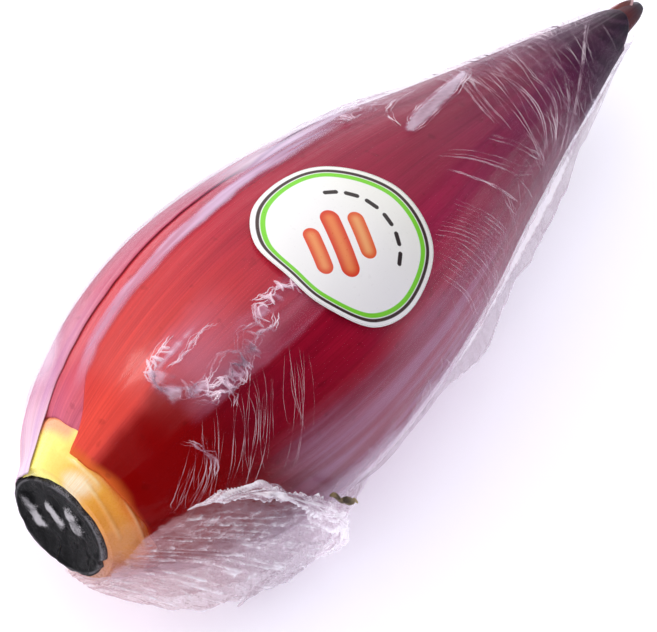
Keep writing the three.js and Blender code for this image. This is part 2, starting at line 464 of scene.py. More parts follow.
def veins(tree, along, round_it, seed):
    return use_group(tree, "Lengthwise streaks", Along=along, Round=round_it, Seed=seed)


def patches(tree, size, seed):
    return use_group(tree, "Mottle", Size=size, Seed=seed)


def streak_group():
    """Veins that run along a bract: fine lines, broad bands and a height for the bump."""
    inputs = {"Along": 0, "Round": 0, "Seed": 0, "Fineness": 1}
    tree, given, ends = new_group("Lengthwise streaks", inputs, ("Lines", "Bands", "Height"))
    along, round_it, seed, fineness = given[:4]

    def streaks(length, width, detail):
        place = node(tree, "ShaderNodeCombineXYZ", along / length, round_it / width, seed)
        return noise_of(Value(place.outputs[0]), detail)

    fine = streaks(34, 0.55, 3)
    broad = streaks(70, 5.5, 2)
    hair = streaks(16, 0.22, 2)
    feed(ends[0], zone(fine, 0.36, 0.66))
    feed(ends[1], zone(broad, 0.34, 0.68))
    feed(ends[2], (hair * 0.4 + fine) * fineness)


def mottle_group():
    """Soft patches and small specks, in object coordinates."""
    inputs = {"Size": 10, "Seed": 0}
    tree, given, ends = new_group("Mottle", inputs, ("Patches", "Specks", "Grain"))
    place = coordinates(tree, "Object")
    size = math_of("DIVIDE", 1 / MM, given[0])
    feed(ends[0], zone(noise_of(place, 3, size, given[1]), 0.35, 0.65))
    feed(ends[1], zone(noise_of(place, 1, size * 6, given[1]), 0.66, 0.74))
    feed(ends[2], noise_of(place, 4, size * 14, given[1]))


def new_material(name):
    """A material with a bare Principled shader, its tree, and the three measures of its piece."""
    material = bpy.data.materials.new(name)
    material.use_nodes = True
    tree = material.node_tree
    read = node(tree, "ShaderNodeAttribute", attribute_name="measures").outputs["Vector"]
    return material, tree, tree.nodes["Principled BSDF"], split(Value(read))


def bump(shader, height, strength, distance=0.0004):
    made = node(tree_of(height), "ShaderNodeBump")
    set_inputs(made, Strength=strength, Distance=distance, Height=height)
    feed(shader.inputs["Normal"], Value(made.outputs[0]))


# What veins and specks multiply the skin's colour by
DARK_VEIN = (0.55, 0.4, 0.5, 1)
LIGHT_BAND = (1.3, 1.45, 1.4, 1)
COOL_BAND = (0.72, 0.62, 0.9, 1)
SPECK = (0.35, 0.25, 0.3, 1)


def bract_material(
    name, seed, upper, lower=None, sides=(-34, 2), glow=(12, 16), deep=0.0, gloss=0.3, margin=0.0
):
    """Waxy skin of a bract. upper and lower are colours along it on either side of a soft line of angle."""
    material, tree, shader, (along, round_it, away) = new_material(name)
    vein = veins(tree, along, round_it, seed)
    patch = patches(tree, 22.0, seed)
    share = along / LENGTH
    waver = (patch["Patches"] - 0.5) * 10.0
    height = round_it + waver
    side = zone(height, *sides)
    color = blend(side, ramp(share, lower or upper, LENGTH), ramp(share, upper, LENGTH))
    # darker and lighter veins
    dark = blend(vein["Lines"] * 0.34, color, DARK_VEIN, "MULTIPLY")
    color = blend(vein["Bands"] * 0.38, dark, LIGHT_BAND, "MULTIPLY")
    wide = veins(tree, along * 0.6, round_it * 0.8, seed + 0.5)
    color = blend(wide["Bands"] * 0.5, color, COOL_BAND, "MULTIPLY")
    if deep:
        # painted shade: deep crimson beside the stalk
        painted_shade = zone(along + waver * 0.3, 56, 30) * deep
        steady = round_it + waver * 0.3
        color = blend(painted_shade * zone(steady, -5, -15), color, "#860000")
        # painted sheen: pale lilac low on the near side, in streaks
        painted_sheen = zone(steady, -54, -74) * zone(along, 46, 70) * zone(along, 180, 130, 0.0, 0.42)
        color = blend(painted_sheen * scaled(vein["Bands"], 0.5, 1.1), color, "#b896bc")
        # and a pale painted sheen round the crumples of the film
        painted_sheen = within(steady, -32, -29, -4, 6)
        painted_sheen = painted_sheen * (zone(along, 37, 52) * zone(along, 78, 50, 0.0, 0.3))
        color = blend(painted_sheen, color, "#c894b4")
    low_end = along + waver * 0.12
    lit = zone(low_end, glow[1], glow[0]) * zone(height, -70, -30, 0.75, 1.0)
    color = blend(lit * 0.8, color, "#e06a2c")
    color = blend(patch["Specks"] * 0.25, color, SPECK, "MULTIPLY")
    if margin:
        color = blend(zone(away, ROUND_OFF, 0.5) * margin, color, "#e2b6ba")
    set_inputs(shader, Base_Color=color, Roughness=zone(patch["Grain"], 0.2, 0.8, gloss, gloss + 0.16))
    # The waxy shine is faint where the film lies close: below the crumples, and low on the point.
    calm = zone(round_it, -24, -30) * zone(along, 118, 92)
    calm = calm * zone(round_it, -76, -58)
    point = zone(along, 205, 235) * zone(round_it, 8, -20)
    calm = most(calm, most(point, zone(along, 40, 26)))
    shader.inputs["Specular IOR Level"].default_value = 0.15
    set_inputs(
        shader,
        Specular_IOR_Level=scaled(calm, 0.19, 0.03),
        Coat_Weight=scaled(calm, 0.27, 0.08),
        Coat_Roughness=0.12,
    )
    bump(shader, vein["Height"] + patch["Grain"] * 0.04, 0.3)
    return material


# Operators, one for each piece or group of like pieces


def settings():
    return bpy.context.scene.blossom


class BlossomSettings(bpy.types.PropertyGroup):
    """What a user would change on the blossom."""

    red: bpy.props.FloatVectorProperty(
        name="Bract red", description="Colour of the front bract's bare side", subtype="COLOR",
        size=4, min=0, max=1, default=tone("#d9403a"),
    )
    haze: bpy.props.FloatProperty(
        name="Film haze", description="How milky the tight film is",
        min=0, max=1, default=0.5, subtype="FACTOR",
    )
    folds: bpy.props.IntProperty(
        name="Fold seed", description="Draws other folds in the film", min=0, default=4,
    )
    light: bpy.props.FloatProperty(
        name="Key light", description="Power of the large soft light", min=0, default=3, subtype="POWER",
    )


# Old bract scars on the stalk, pale with a painted highlight: distance, lean in mm a degree, the middle of
# the arc and half its reach
SCARS = [(4.4, 0.02, -16, 32), (7.8, 0.035, -38, 36), (10.8, 0.0, -8, 22), (12.4, 0.03, -62, 30)]
SCARS += [(5.5, -0.02, 110, 60), (9.5, 0.02, 170, 70), (7, 0.0, -130, 50)]
STALK_END = 57
LEAN_LENGTH = 14  # how far along the stalk the slant of its cut fades
# Between the front and the back bract the stalk shows further along.
NECK_END = 11
NOTCH = dict(s=16.5, angle=21, reach=24, ramp=8)
FACE = 0.78  # the share of the crust's rows that lie on its face
RIM = 0.955  # the share of the cut's radius where its rim rolls over
# Notches in the crust's edge: how deep, how many and where they begin
RAGGED = [(0.02, 5, 0), (0.012, 9, 70)]
# Raised scabs on the cut, pale grey partly as a painted glint: the middle, turn, half length and half width
# of each
SCABS = [((10.8, -2.6), 51, 4.6, 1.9), ((2.3, 1.3), 45, 3.0, 1.8), ((-4.8, 5.0), 55, 2.6, 2.2)]


class BLOSSOM_OT_stalk(bpy.types.Operator):
    """Builds the stalk and the dried crust on its cut"""

    bl_idname = "blossom.stalk"
    bl_label = "Stalk"

    def execute(self, context):
        bracts = list(BRACTS.values())

        def lean(row, angle, radius):
            slope = CUT_SLOPE * np.clip(1 - row / LEAN_LENGTH, 0, 1)
            return row + slope * (CUT_RADIUS + radius * np.cos(np.radians(angle)))

        def scars(s, angle):
            total = 0
            for at, lean_by, middle, reach in SCARS:
                off = (angle - middle + 180) % 360 - 180
                line = np.exp(-(((s - at - lean_by * off) / 0.6) ** 2))
                total = total + line * smoothstep(reach - np.abs(off), 0, 18)
            return total

        def stalk_radius(s, angle):
            lumps = 0.35 * swell(angle / 20, s / 9, 31) * smoothstep(s, 1, 4)
            under = beneath(bracts, s, angle)
            back = BRACTS["bract_back"]
            neck = envelope(s, angle) - 0.25 - cover(back, s, angle) * smoothstep(s, 1.5, back["base"])
            notch = smoothstep(NOTCH["reach"] - turned(angle, NOTCH["angle"]), 0, NOTCH["ramp"])
            drop = lerp(NECK_END, NOTCH["s"], notch)
            return lerp(neck, under, smoothstep(s, drop, drop + 4)) + 0.4 * scars(s, angle) + lumps - 0.2

        def place_stalk(along, across):
            row = lerp(CUT_CRUST * 0.8, STALK_END, along**1.25)
            row = np.where(along > 0.999, STALK_END, row)
            angle = 180 - 360 * across
            start = lean(row, angle, BODY(row))
            radius = stalk_radius(start, angle)
            # Its front end is closed behind the dried face.
            start = np.where(along < 0.0001, 6, start)
            return points(start, angle, closed(along, radius)), (start, angle, scars(start, angle))

        stalk = grid_piece("stalk_skin", place_stalk)

        def place_crust(along, across):
            angle = 180 - 360 * across
            # The dried face: out from its middle, over a raised rim and back down the side.
            part = np.minimum(along / FACE, 1)
            down = np.maximum(along - FACE, 0) / (1 - FACE)
            ragged = 1
            for much, lobes, begin in RAGGED:
                ragged = ragged + much * np.cos(np.radians(lobes * angle + begin))
            ragged = ragged + 0.022 * swell(angle / 9, 0 * angle, 41)
            ragged = ragged - 0.05 * smoothstep(9 - turned(angle, -100), 0, 7)
            out = np.where(along < FACE, part * RIM, lerp(RIM, 1.0, np.sqrt(down)))
            radius = CUT_RADIUS * ragged * out
            u, v = radius * np.sin(np.radians(angle)), radius * np.cos(np.radians(angle))
            inner = smoothstep(1 - part, 0, 0.1)
            dish = 1.1 * (1 - smoothstep(part, 0.55, 0.93)) + 0.6 * creases(u / 4.5, v / 9, 42) * inner
            for middle, turn, half, width in SCABS:
                cos, sin = np.cos(np.radians(turn)), np.sin(np.radians(turn))
                du, dv = u - middle[0], v - middle[1]
                past = np.maximum(np.abs(du * cos + dv * sin) - half, 0)
                off = np.hypot(past, dv * cos - du * sin) - width
                dish = dish - 0.4 * smoothstep(off, 0.9, -0.2)
            edge = 1.7 * down**1.3 + 0.6 * down * swell(angle / 7, 0 * angle, 45)
            row = np.maximum(dish * (along < FACE), 0) + edge
            start = row + CUT_SLOPE * (CUT_RADIUS + radius * np.cos(np.radians(angle))) + 0.15
            return points(start, angle, radius), (u, v, down)

        crust = grid_piece("cut_face", place_crust)
        dress(stalk, stalk_material())
        dress(crust, crust_material())
        return {"FINISHED"}


def stalk_material():
    material, tree, shader, (along, round_it, scar) = new_material("moist stalk")
    patch = patches(tree, 9.0, 3.0)
    waver = (patch["Patches"] - 0.5) * 18.0
    side = (round_it + waver + 110.0) / 150
    color = ramp(
        side,
        [(0.05, "#c47442"), (0.33, "#e6943e"), (0.47, "#f4a63e"), (0.66, "#f8c452"), (0.86, "#fff784")],
    )
    vein = veins(tree, along, round_it, 7.0)
    color = blend(vein["Bands"] * 0.16, color, (0.9, 0.68, 0.4, 1), "MULTIPLY")
    # orange where the front bract leaves it, a painted pale highlight on the scars, brown at the very edge
    toward = zone(along + waver * 0.12, 9, 15) * zone(round_it, 0, -14)
    color = blend(toward * 0.75, color, "#e0602a")
    # painted highlight: a pale patch between the yellow and the orange side
    off = (round_it + (waver * 0.6 + 15.0)) / 18
    far = (along + (round_it * 0.05 - 6.5)) / 4.5
    off = root(off * off + far * far)
    painted_highlight = zone(off, 1.0, 0.2) * scaled(vein["Lines"], 0.55, 0.95)
    color = blend(painted_highlight, color, "#fff4da")
    peach = zone(along, 12.5, 16.5) * zone(round_it, 6, 16)
    color = blend(peach, color, "#ffae80")
    # painted highlight on the scars, strongest on their upper side
    painted_scar_highlight = zone(scar, 0.15, 1.0) * zone(patch["Patches"], 0.0, 0.9, 0.3, 0.8)
    painted_scar_highlight = painted_scar_highlight * zone(round_it, -44, -16, 0.3, 1.0)
    color = blend(painted_scar_highlight, color, "#fff2c0")
    rim = zone(along + waver * 0.1, 3.4, 1.0)
    color = blend(rim * 0.12, color, "#7a4a1c")
    set_inputs(
        shader,
        Base_Color=color,
        Roughness=zone(patch["Grain"], 0.2, 0.8, 0.2, 0.38),
        Specular_IOR_Level=0.35,
        Coat_Weight=0.4,
        Coat_Roughness=0.1,
    )
    bump(shader, vein["Height"] * 0.35 + patch["Grain"] * 0.6, 0.25)
    return material


def crust_material():
    material, tree, shader, (u, v, down) = new_material("dried cut")
    patch = patches(tree, 5.0, 12.0)
    color = blend(patch["Patches"], "#010102", "#09090b")
    color = blend(patch["Specks"] * 0.3, color, "#3c3a40")
    out = root(u * u + v * v) / CUT_RADIUS
    waver = (patch["Grain"] - 0.5) * 5.0 + patch["Patches"] * 1.5
    scab_glint = 0.0
    for middle, turn, half, width in SCABS:
        distance = bar_distance(u, v, middle, turn, half) + waver
        scab_glint = most(scab_glint, zone(distance, width + 1.3, width - 0.4))
    scab_glint = scab_glint * zone(patch["Patches"], 0.9, 0.1, 0.45, 1.0)
    # pale grey on the scabs, partly a painted glint
    color = blend(scab_glint, color, "#c2bfc2")
    # Painted highlight: the rim is pale grey on its upper, outer side and in a thin line all round.
    upper = zone(v + u * -1.0, 4, 13) * zone(out, 0.86, 0.96)
    around = within(out, 0.915, 0.945, 0.955, 0.975) * 0.5
    mottled = zone(patch["Grain"], 0.42, 0.56, 0.15, 1.0)
    upper = most(upper * mottled, around) * zone(patch["Patches"], 0.2, 0.7, 0.3, 1.0)
    color = blend(upper * 0.8, color, "#8a878c")
    brown = zone(down, 0.35, 0.95)
    color = blend(brown * 0.6, color, "#33231a")
    set_inputs(
        shader,
        Base_Color=color,
        Roughness=zone(patch["Patches"], 0.1, 0.9, 0.2, 0.5),
        Specular_IOR_Level=0.05,
        Coat_Weight=0.03,
        Coat_Roughness=0.1,
    )
    bump(shader, patch["Grain"], 0.6, 0.0006)
    return material


class BLOSSOM_OT_bracts(bpy.types.Operator):
    """Builds the five outer bracts, each a thin overlapping blade"""

    bl_idname = "blossom.bracts"
    bl_label = "Bracts"

    def execute(self, context):
        for order, (name, bract) in enumerate(BRACTS.items()):
            dress(self.blade(name, bract, order), skin(name))
        return {"FINISHED"}

    def blade(self, name, bract, order):
        over = list(BRACTS.values())[:order]
        seed = 50 + 7 * order

        def place(along, across):
            row = lerp(bract["base"], bract["tip"], lerp(along, 0.5 - 0.5 * np.cos(np.pi * along), 0.5))
            outer = across <= 0.5
            t = np.where(outer, 4 * across - 1, 3 - 4 * across)
            t = np.sin(t * np.pi / 2) * 0.6 + t * 0.4
            middle, half = span(bract, row)
            # The edges waver a little.
            side = 0 * row + (t > 0)
            edge = 0.55 * swell(row / 11, side, seed) + 0.25 * swell(row / 4, side, seed + 1)
            half = half + edge * np.minimum(half / 40, 1) * np.abs(t) ** 4
            angle = middle - half * t
            slide = np.clip(1 - (row - bract["base"]) / 40, 0, 1)
            s = row - bract["slant"] / 2 * t * slide + 0.5 * swell(angle / 9, 0 * angle, seed + 2) * slide
            inside = half * (1 - np.abs(t))
            thick = lerp(EDGE, np.maximum(THICKNESS(s), MARGIN), smoothstep(inside, 0, 22))
            radius = beneath(over, s, angle)
            # Distance from the nearest edge, in millimetres, over which the margin rounds off
            away = np.radians(inside) * radius
            away = np.minimum(away, row - bract["base"])
            away = np.minimum(away, bract["tip"] - row)
            rounding = np.sqrt(np.clip(1 - (1 - np.clip(away / ROUND_OFF, 0, 1)) ** 2, 0, 1))
            ribs = 0.10 * swell(angle / 1.9, s / 60, seed + 3) + 0.10 * swell(angle / 6, s / 90, seed + 4)
            ribs = (ribs - 0.1) * smoothstep(away, 0.5, 4)
            # At its base the blade is sunk in the stalk.
            sunk = 0.5 * smoothstep(bract["base"] + 3.5 - row, 0, 3.5)
            surface = radius + ribs - sunk
            underneath = surface - LEAST - (thick - LEAST) * rounding
            surface = np.where(outer, surface - LEAST * (1 - rounding), underneath)
            return points(s, angle, surface), (s, angle, away)

        return grid_piece(name + "_blade", place, flip=True)


RED_AT = 45  # where along the front bract the user's red lies
# Skins of the bracts and the bud: a seed, the colours along the upper and the lower side, the angles
# between which one side turns into the other, and the distances between which the glow at the base fades
SKINS = {
    # The front bract's lower side is darker partly as painted shade; deep turns on its painted shade and
    # sheen and sets how strong the shade is.
    "bract_front": dict(
        name="front bract skin",
        seed=1.0,
        upper=[(16, "#e64e40"), (45, "#e22c2e"), (90, "#bc2438"), (140, "#981c3c"), (215, "#78203e")]
        + [(240, "#4a213c"), (262, "#33232f")],
        lower=[(16, "#8a0204"), (45, "#780618"), (90, "#a20c2c"), (140, "#ac1c48"), (215, "#762048")]
        + [(240, "#42203a"), (262, "#2c2230")],
        sides=(-34, -6),
        glow=(12.5, 15.5),
        deep=0.97,
    ),
    "bract_top": dict(
        name="coral bract skin",
        seed=2.0,
        upper=[(18, "#d0687c"), (34, "#d85860"), (64, "#d64046"), (120, "#b8405a"), (180, "#86304e")]
        + [(250, "#5a2c44")],
    ),
    # The back bract's pale pink near its base and on its far side is partly painted glare.
    "bract_back": dict(
        name="back bract skin",
        seed=3.0,
        upper=[(5, "#f0d6e4"), (30, "#dc98b0"), (60, "#c8506a"), (120, "#a8405e"), (190, "#7c2c4a")]
        + [(258, "#4c2a42")],
        lower=[(5, "#e4b0c0"), (24, "#c8607a"), (60, "#a03450"), (120, "#842444"), (190, "#64223e")]
        + [(258, "#40263c")],
        sides=(84, 58),
        glow=(1, 2),
    ),
    "bract_under": dict(
        name="under bract skin",
        seed=4.0,
        upper=[(17, "#9a2c30"), (60, "#7c1c34"), (140, "#6c1c3a"), (215, "#5a2040"), (262, "#3c2238")],
        glow=(12, 22),
    ),
    "bract_inner": dict(
        name="inner bract skin",
        seed=5.0,
        upper=[(62, "#8c3434"), (200, "#7a3236"), (262, "#6c2c2c"), (272, "#70332f"), (277, "#5c3a3c")],
        glow=(50, 60),
        gloss=0.42,
        margin=0.8,
    ),
    "bud": dict(
        name="bud skin",
        seed=6.0,
        upper=[(60, "#7c2c30"), (200, "#6c2a30"), (262, "#6a3030"), (271, "#62383a"), (278, "#4a474d")],
        glow=(40, 50),
        gloss=0.45,
    ),
}


def skin(part):
    finish = dict(SKINS[part])
    if part == "bract_front":
        finish["upper"] = [(at, settings().red if at == RED_AT else color) for at, color in finish["upper"]]
    return bract_material(**finish)


BUD_START = 60  # where the bud begins, out of sight inside the bracts


class BLOSSOM_OT_bud(bpy.types.Operator):
    """Builds the closed bud whose point shows at the tip"""

    bl_idname = "blossom.bud"
    bl_label = "Bud"

    def execute(self, context):
        def place(along, across):
            s = lerp(BUD_START, LENGTH, along)
            angle = 180 - 360 * across
            fold = 0.4 * np.cos(np.radians(angle * 2 + 1.4 * s)) + 0.25 * swell(angle / 20, s / 14, 71)
            radius = BUD(s) + fold * smoothstep(BUD(s), 1, 5) - 0.3
            return points(s, angle, closed(along, radius)), (s, angle, 0 * s + 9)

        bud = grid_piece("bud_point", place)
        dress(bud, skin("bud"))
        return {"FINISHED"}


# Film

FILM_START = 19
FILM_END = 267
TIGHT = 0.35  # how far the tight film's surface lies outside the gap round the bracts
LOOSE = 0.5  # the same for the gathered film
TABLE_GAP = 0.05  # the least height of the film over the table
MOUTH = 0.6  # the least distance of the film's mouth from the cut
ROUND_FOLDS = 0.45  # the height of the folds that run round the blossom
TOP_FOLDS = 1.1  # the height of the folds on the ridge
FORWARD = dict(distance=17, angle=-128, reach=76, ramp=35, length=40)
BUNCH = dict(angle=-138, reach=55, out=14.5, start=-12, full=22, end=98, fade=50, lip=3.2, foot=-200)
FIN = dict(angle=-117, low=2.5, high=8, start=70, end=268, thickness=0.7, rise=(75, 95), top=(120, 150))
DEGREES = 57.3  # in a radian, nearly
# Upper border of the gathered film: the angle where it begins, along the blossom
GATHER_EDGE = curve(
    [(0, -94), (4, -85), (9, -71), (14, -62), (20, -59), (28, -59.5), (35, -61), (43, -67), (50, -76)]
    + [(58, -88), (66, -100), (80, -112), (98, -122)]
)


def bunched(s, angle):
    """How far the gathered film stands off the bracts."""
    along = smoothstep(s, BUNCH["start"], BUNCH["full"]) * smoothstep(BUNCH["end"] - s, 0, BUNCH["fade"])
    hill = BUNCH["out"] * smoothstep(BUNCH["reach"] - turned(angle, BUNCH["angle"]), 0, BUNCH["reach"])
    lip = BUNCH["lip"] * smoothstep(GATHER_EDGE(s) - angle, 0, 7) * smoothstep(angle + 190, 0, 30)
    return along * np.maximum(hill, lip)


def fin_height(s):
    along = smoothstep(s, *FIN["rise"]) * smoothstep(275 - s, 0, 85)
    return along * lerp(FIN["low"], FIN["high"], smoothstep(s, *FIN["top"]))


def forward(row, angle):
    """How far the film's mouth comes towards the cut where it is gathered."""
    near = smoothstep(FORWARD["reach"] - turned(angle, FORWARD["angle"]), 0, FORWARD["ramp"])
    return -FORWARD["distance"] * near * np.clip(1 - (row - FILM_START) / FORWARD["length"], 0, 1)


def film_radius(s, angle, out=0.0):
    """The tight film's radius, at a distance outside it."""
    return above(TABLE_GAP, s, angle, envelope(s, angle, GAP + TIGHT + out))


# Upper and lower border of the flat facet near the ridge, as distances and angles
FACET_UPPER = [(160, 2), (164, 5.5), (172, 10.5), (186.5, 18), (195.5, 22.5), (203, 29)]
FACET_LOWER = [(160, 2), (163, -0.5), (171.5, 1.5), (188.5, 9), (200.5, 20.5), (203, 29)]
# Milky blobs beside the sticker, raised a little and painted as highlights: distance, angle, reach along
# and reach round
BLOBS = [(40.5, -7, 2.5, 2.5), (41, -15, 3, 4), (46, -23, 3, 3), (58, -27, 4, 2.5), (74.5, -18, 6, 2.2)]
BLOBS += [(83, -16.5, 6, 2), (90, -20, 5, 2), (50, -5, 7, 1.2), (66, -23, 7, 1.6)]


def facet(s, angle):
    """1 on the flat facet, and 0 off it."""
    upper = np.interp(s, *np.array(FACET_UPPER, float).T)
    lower = np.interp(s, *np.array(FACET_LOWER, float).T)
    inside = smoothstep(np.minimum(upper - angle, angle - lower), -0.6, 1.2)
    return inside * smoothstep(s, 160, 163) * smoothstep(203 - s, 0, 2)


class BLOSSOM_OT_film(bpy.types.Operator):
    """Builds the tight film with its soft folds"""

    bl_idname = "blossom.film"
    bl_label = "Tight film"

    def execute(self, context):
        def place(along, across):
            row = lerp(FILM_START, FILM_END, along)
            angle = 180 - 360 * across
            mouth = 0.8 * swell(angle / 8, 0 * angle, 81) * smoothstep(30 - row, 0, 8)
            s = row + forward(row, angle) + mouth
            s = np.maximum(s, MOUTH)
            w = angle * 0.85
            # Folds run round the blossom, more of them towards the tip and by the gathered side.
            leaning = s + 0.10 * angle * smoothstep(s, 150, 230)
            toward_tip = smoothstep(s, 175, 215)
            by_side = smoothstep(s, 110, 130) * smoothstep(190 - s, 0, 20) * smoothstep(-angle, 40, 75)
            much = np.maximum(toward_tip, by_side)
            folds = much * ROUND_FOLDS * creases(leaning / 3.2, w / 45, 82, 2)
            top = smoothstep(s, 146, 156) * smoothstep(190 - s, 0, 14) * smoothstep(angle, 18, 30)
            heap = creases((s + 0.7 * angle) / 8, (w - 0.5 * s) / 11, 83, 2)
            folds = np.maximum(folds, TOP_FOLDS * top * heap)
            flat = facet(s, angle)
            blob = sum(np.exp(-(((s - a) / c) ** 2) - ((angle - b) / d) ** 2) for a, b, c, d in BLOBS)
            broken = creases(s / 5, w / 3, 88, 2)
            soft = 0.12 * swell(s / 12, w / 18, 84)
            radius = film_radius(s, angle, folds * (1 - flat) + 0.3 * flat + 0.3 * blob * broken + soft)
            # a painted highlight on the flat facet, streaked and brighter towards its far end; the folds a
            # little milky
            lines = creases((angle - 0.62 * s) / 2.6, s / 40, 85, 2)
            facet_highlight = 0.27 + 0.24 * smoothstep(s, 180, 201) + 0.24 * lines
            white = np.maximum(0.28 * folds, flat * facet_highlight)
            # ragged lilac lobes along the lower side of the point
            lobe = creases(s / 8, angle / 42, 89, 2) * smoothstep(s, 205, 225) * smoothstep(-angle, 66, 92)
            white = np.maximum(white, 0.75 * lobe * smoothstep(angle, -175, -140))
            # painted highlights on the milky blobs, broken by the crumples
            white = np.maximum(white, np.clip(blob, 0, 1) * np.clip(broken * 1.6 - 0.2, 0, 1) * 0.75)
            return points(s, angle, radius), (s, angle, np.clip(white, 0, 1))

        film = grid_piece("film_wrap", place, flip=True)
        dress(film, film_material("tight film", tight_look))
        return {"FINISHED"}


def film_material(name, look):
    """Clear film. A look gives its colour and its opacity."""
    material, tree, shader, measures = new_material(name)
    patch, small = patches(tree, 14.0, 21.0), patches(tree, 4.0, 22.0)
    facing = node(tree, "ShaderNodeLayerWeight", 0.25).outputs["Facing"]
    grazing = zone(Value(facing), 0.25, 1.0)
    color, alpha = look(tree, shader, measures, patch, grazing)
    set_inputs(
        shader,
        Base_Color=color,
        Roughness=scaled(small["Patches"], 0.1, 0.2),
        Alpha=alpha,
        IOR=1.5,
        Coat_Roughness=0.06,
    )
    bump(shader, small["Patches"], 0.12, 0.0005)
    return material


def gathered_look(tree, shader, measures, patch, grazing):
    """Many layers of film together, whiter where they are creased: thicker film, with a painted highlight
    on the ridges.
    """
    along, _, fold = measures
    thick = zone(fold, 0.22, 0.9, 0.24, 0.86)
    alpha = thick * scaled(patch["Patches"], 0.7, 1.0)
    alpha = (alpha + grazing * 0.15) * zone(fold, 0.0, 0.1)
    near = blend(zone(along, 16, 52), "#d6a8b0", "#ac90a4")
    color = blend(zone(fold, 0.3, 0.85), near, "#faf6ff")
    # Painted glow: emission in the film's colour stands in for the light that many layers pass on from
    # behind, most of all in the knot.
    knot = within(along, 52, 64, 76, 86)
    painted_glow = most(scaled(knot, 0.2, 0.46), zone(along, 84, 100, 0.0, 0.3))
    set_inputs(
        shader,
        Emission_Color=blend(painted_glow, (0, 0, 0, 1), color),
        Emission_Strength=1.0,
        Coat_Weight=1.0,
    )
    return color, alpha


# How strongly the milky places of the tight film show, with the painted glare on the far side and the
# painted highlights on the seam and the ridge
LOWER_HAZE = 0.42
FAR_GLARE = 0.48
SEAM_SHINE = 0.74
RIDGE_SHINE = 0.62
CLEAR = 0.004  # the opacity of film that shows nothing


def milky_sheen_patch(along, round_soft, lean, bands):
    """The wide milky patch beside the sticker, thicker towards the cut: film haze with a painted sheen."""
    milk_and_sheen = within(along, 37, 41, 92, 110)
    milk_and_sheen = milk_and_sheen * (zone(lean, -32, -29.5) * zone(round_soft, 2, -6))
    near = zone(along, 60, 70) * zone(lean, -12, -17)
    milk_and_sheen = milk_and_sheen * (near * 0.17 + zone(along, 80, 56, 0.03, 0.07))
    return milk_and_sheen * scaled(bands, 0.6, 1.0)


def seam_shine(along, round_it, waver):
    """A painted highlight: a bright line over the seam between the front bract and its neighbour."""
    bend = most(along - 100.0, 0.0) * 0.17 + 26.0
    bend = bend + most(along * -1.0 + 40.0, 0.0) * -0.35
    off = round_it + waver * 0.12 + bend * -1.0
    off = off * zone(along, 104, 130, 1.0, 0.42)
    return zone(math_of("ABSOLUTE", off), 4.8, 0.8) * within(along, 20, 40, 135, 165)


def tight_look(tree, shader, measures, patch, grazing):
    """One layer of film, clear but for its folds, its milky places and the highlights, glare and sheen
    painted on it.
    """
    along, round_it, fold = measures
    streak = veins(tree, along, round_it, 26.0)
    waver = (patch["Patches"] - 0.5) * 9.0
    round_soft, lean = round_it + waver, round_it + waver * 0.25
    milk_and_sheen = milky_sheen_patch(along, round_soft, lean, streak["Bands"])
    # painted sheen: streaky lilac haze low on the near side
    low = zone(lean, -56, -74) * zone(along, 46, 66) * zone(along, 175, 125, 0.0, 0.05)
    low = low * scaled(streak["Bands"], 0.55, 1.15)
    # below the fin, further round towards the tip
    lower = zone(round_soft + zone(along, 110, 190) * 16.0, -84, -108)
    lower = lower * (zone(along, 236, 214) * zone(round_it, -172, -140, 0.3, 1.0))
    # painted glare: lilac haze along the far side, sooner near the cut
    sooner = most(along * -1.0 + 45.0, 0.0)
    far = zone(lean + sooner, 48, 68)
    far = far * (zone(lean, 104, 78, 0.15, 1.0) * zone(along, 18, 36)) * zone(along, 200, 145, 0.35, 1.0)
    # painted highlight on the seam and painted glare on the ridge behind the sticker, and fine lines at the
    # upper edge of the point
    broken = scaled(streak["Bands"], 0.45, 1.0)
    seam = seam_shine(along, round_it, waver)
    ridge = within(along, 92, 128, 150, 190) * zone(round_it + waver * 0.4, 25, 37)
    ridge = ridge * zone(round_it, 88, 60)
    edge = zone(along, 190, 215) * zone(round_soft, 8, 24) * scaled(streak["Lines"], 0.04, 0.2)
    mask = most(milk_and_sheen, lower * LOWER_HAZE)
    mask = most(mask, most(low, edge))
    mask = most(mask, far * FAR_GLARE)
    mask = most(mask, seam * broken * SEAM_SHINE)
    mask = most(mask, ridge * broken * RIDGE_SHINE)
    mask = most(mask, fold) * (2 * settings().haze)
    # Nearly clear film has little gloss: the skin beneath it shines.
    set_inputs(shader, Coat_Weight=zone(mask, 0.3, 0.55), Specular_IOR_Level=0.2)
    color = blend(zone(mask, 0.02, 0.3), "#c080a8", "#f4e4fa")
    # tints: pink on the milky patch, lilac for the painted sheen low down, and lilac-white for the painted
    # seam highlight
    for part, full, much, tint in (
        (milk_and_sheen, 0.15, 0.75, "#da84ac"),
        (low, 0.12, 0.7, "#c8a0d6"),
        (seam, 0.5, 0.7, "#cfb0dc"),
    ):
        color = blend(zone(part, 0.0, full, 0.0, much), color, tint)
    return color, mask + CLEAR + grazing * 0.08


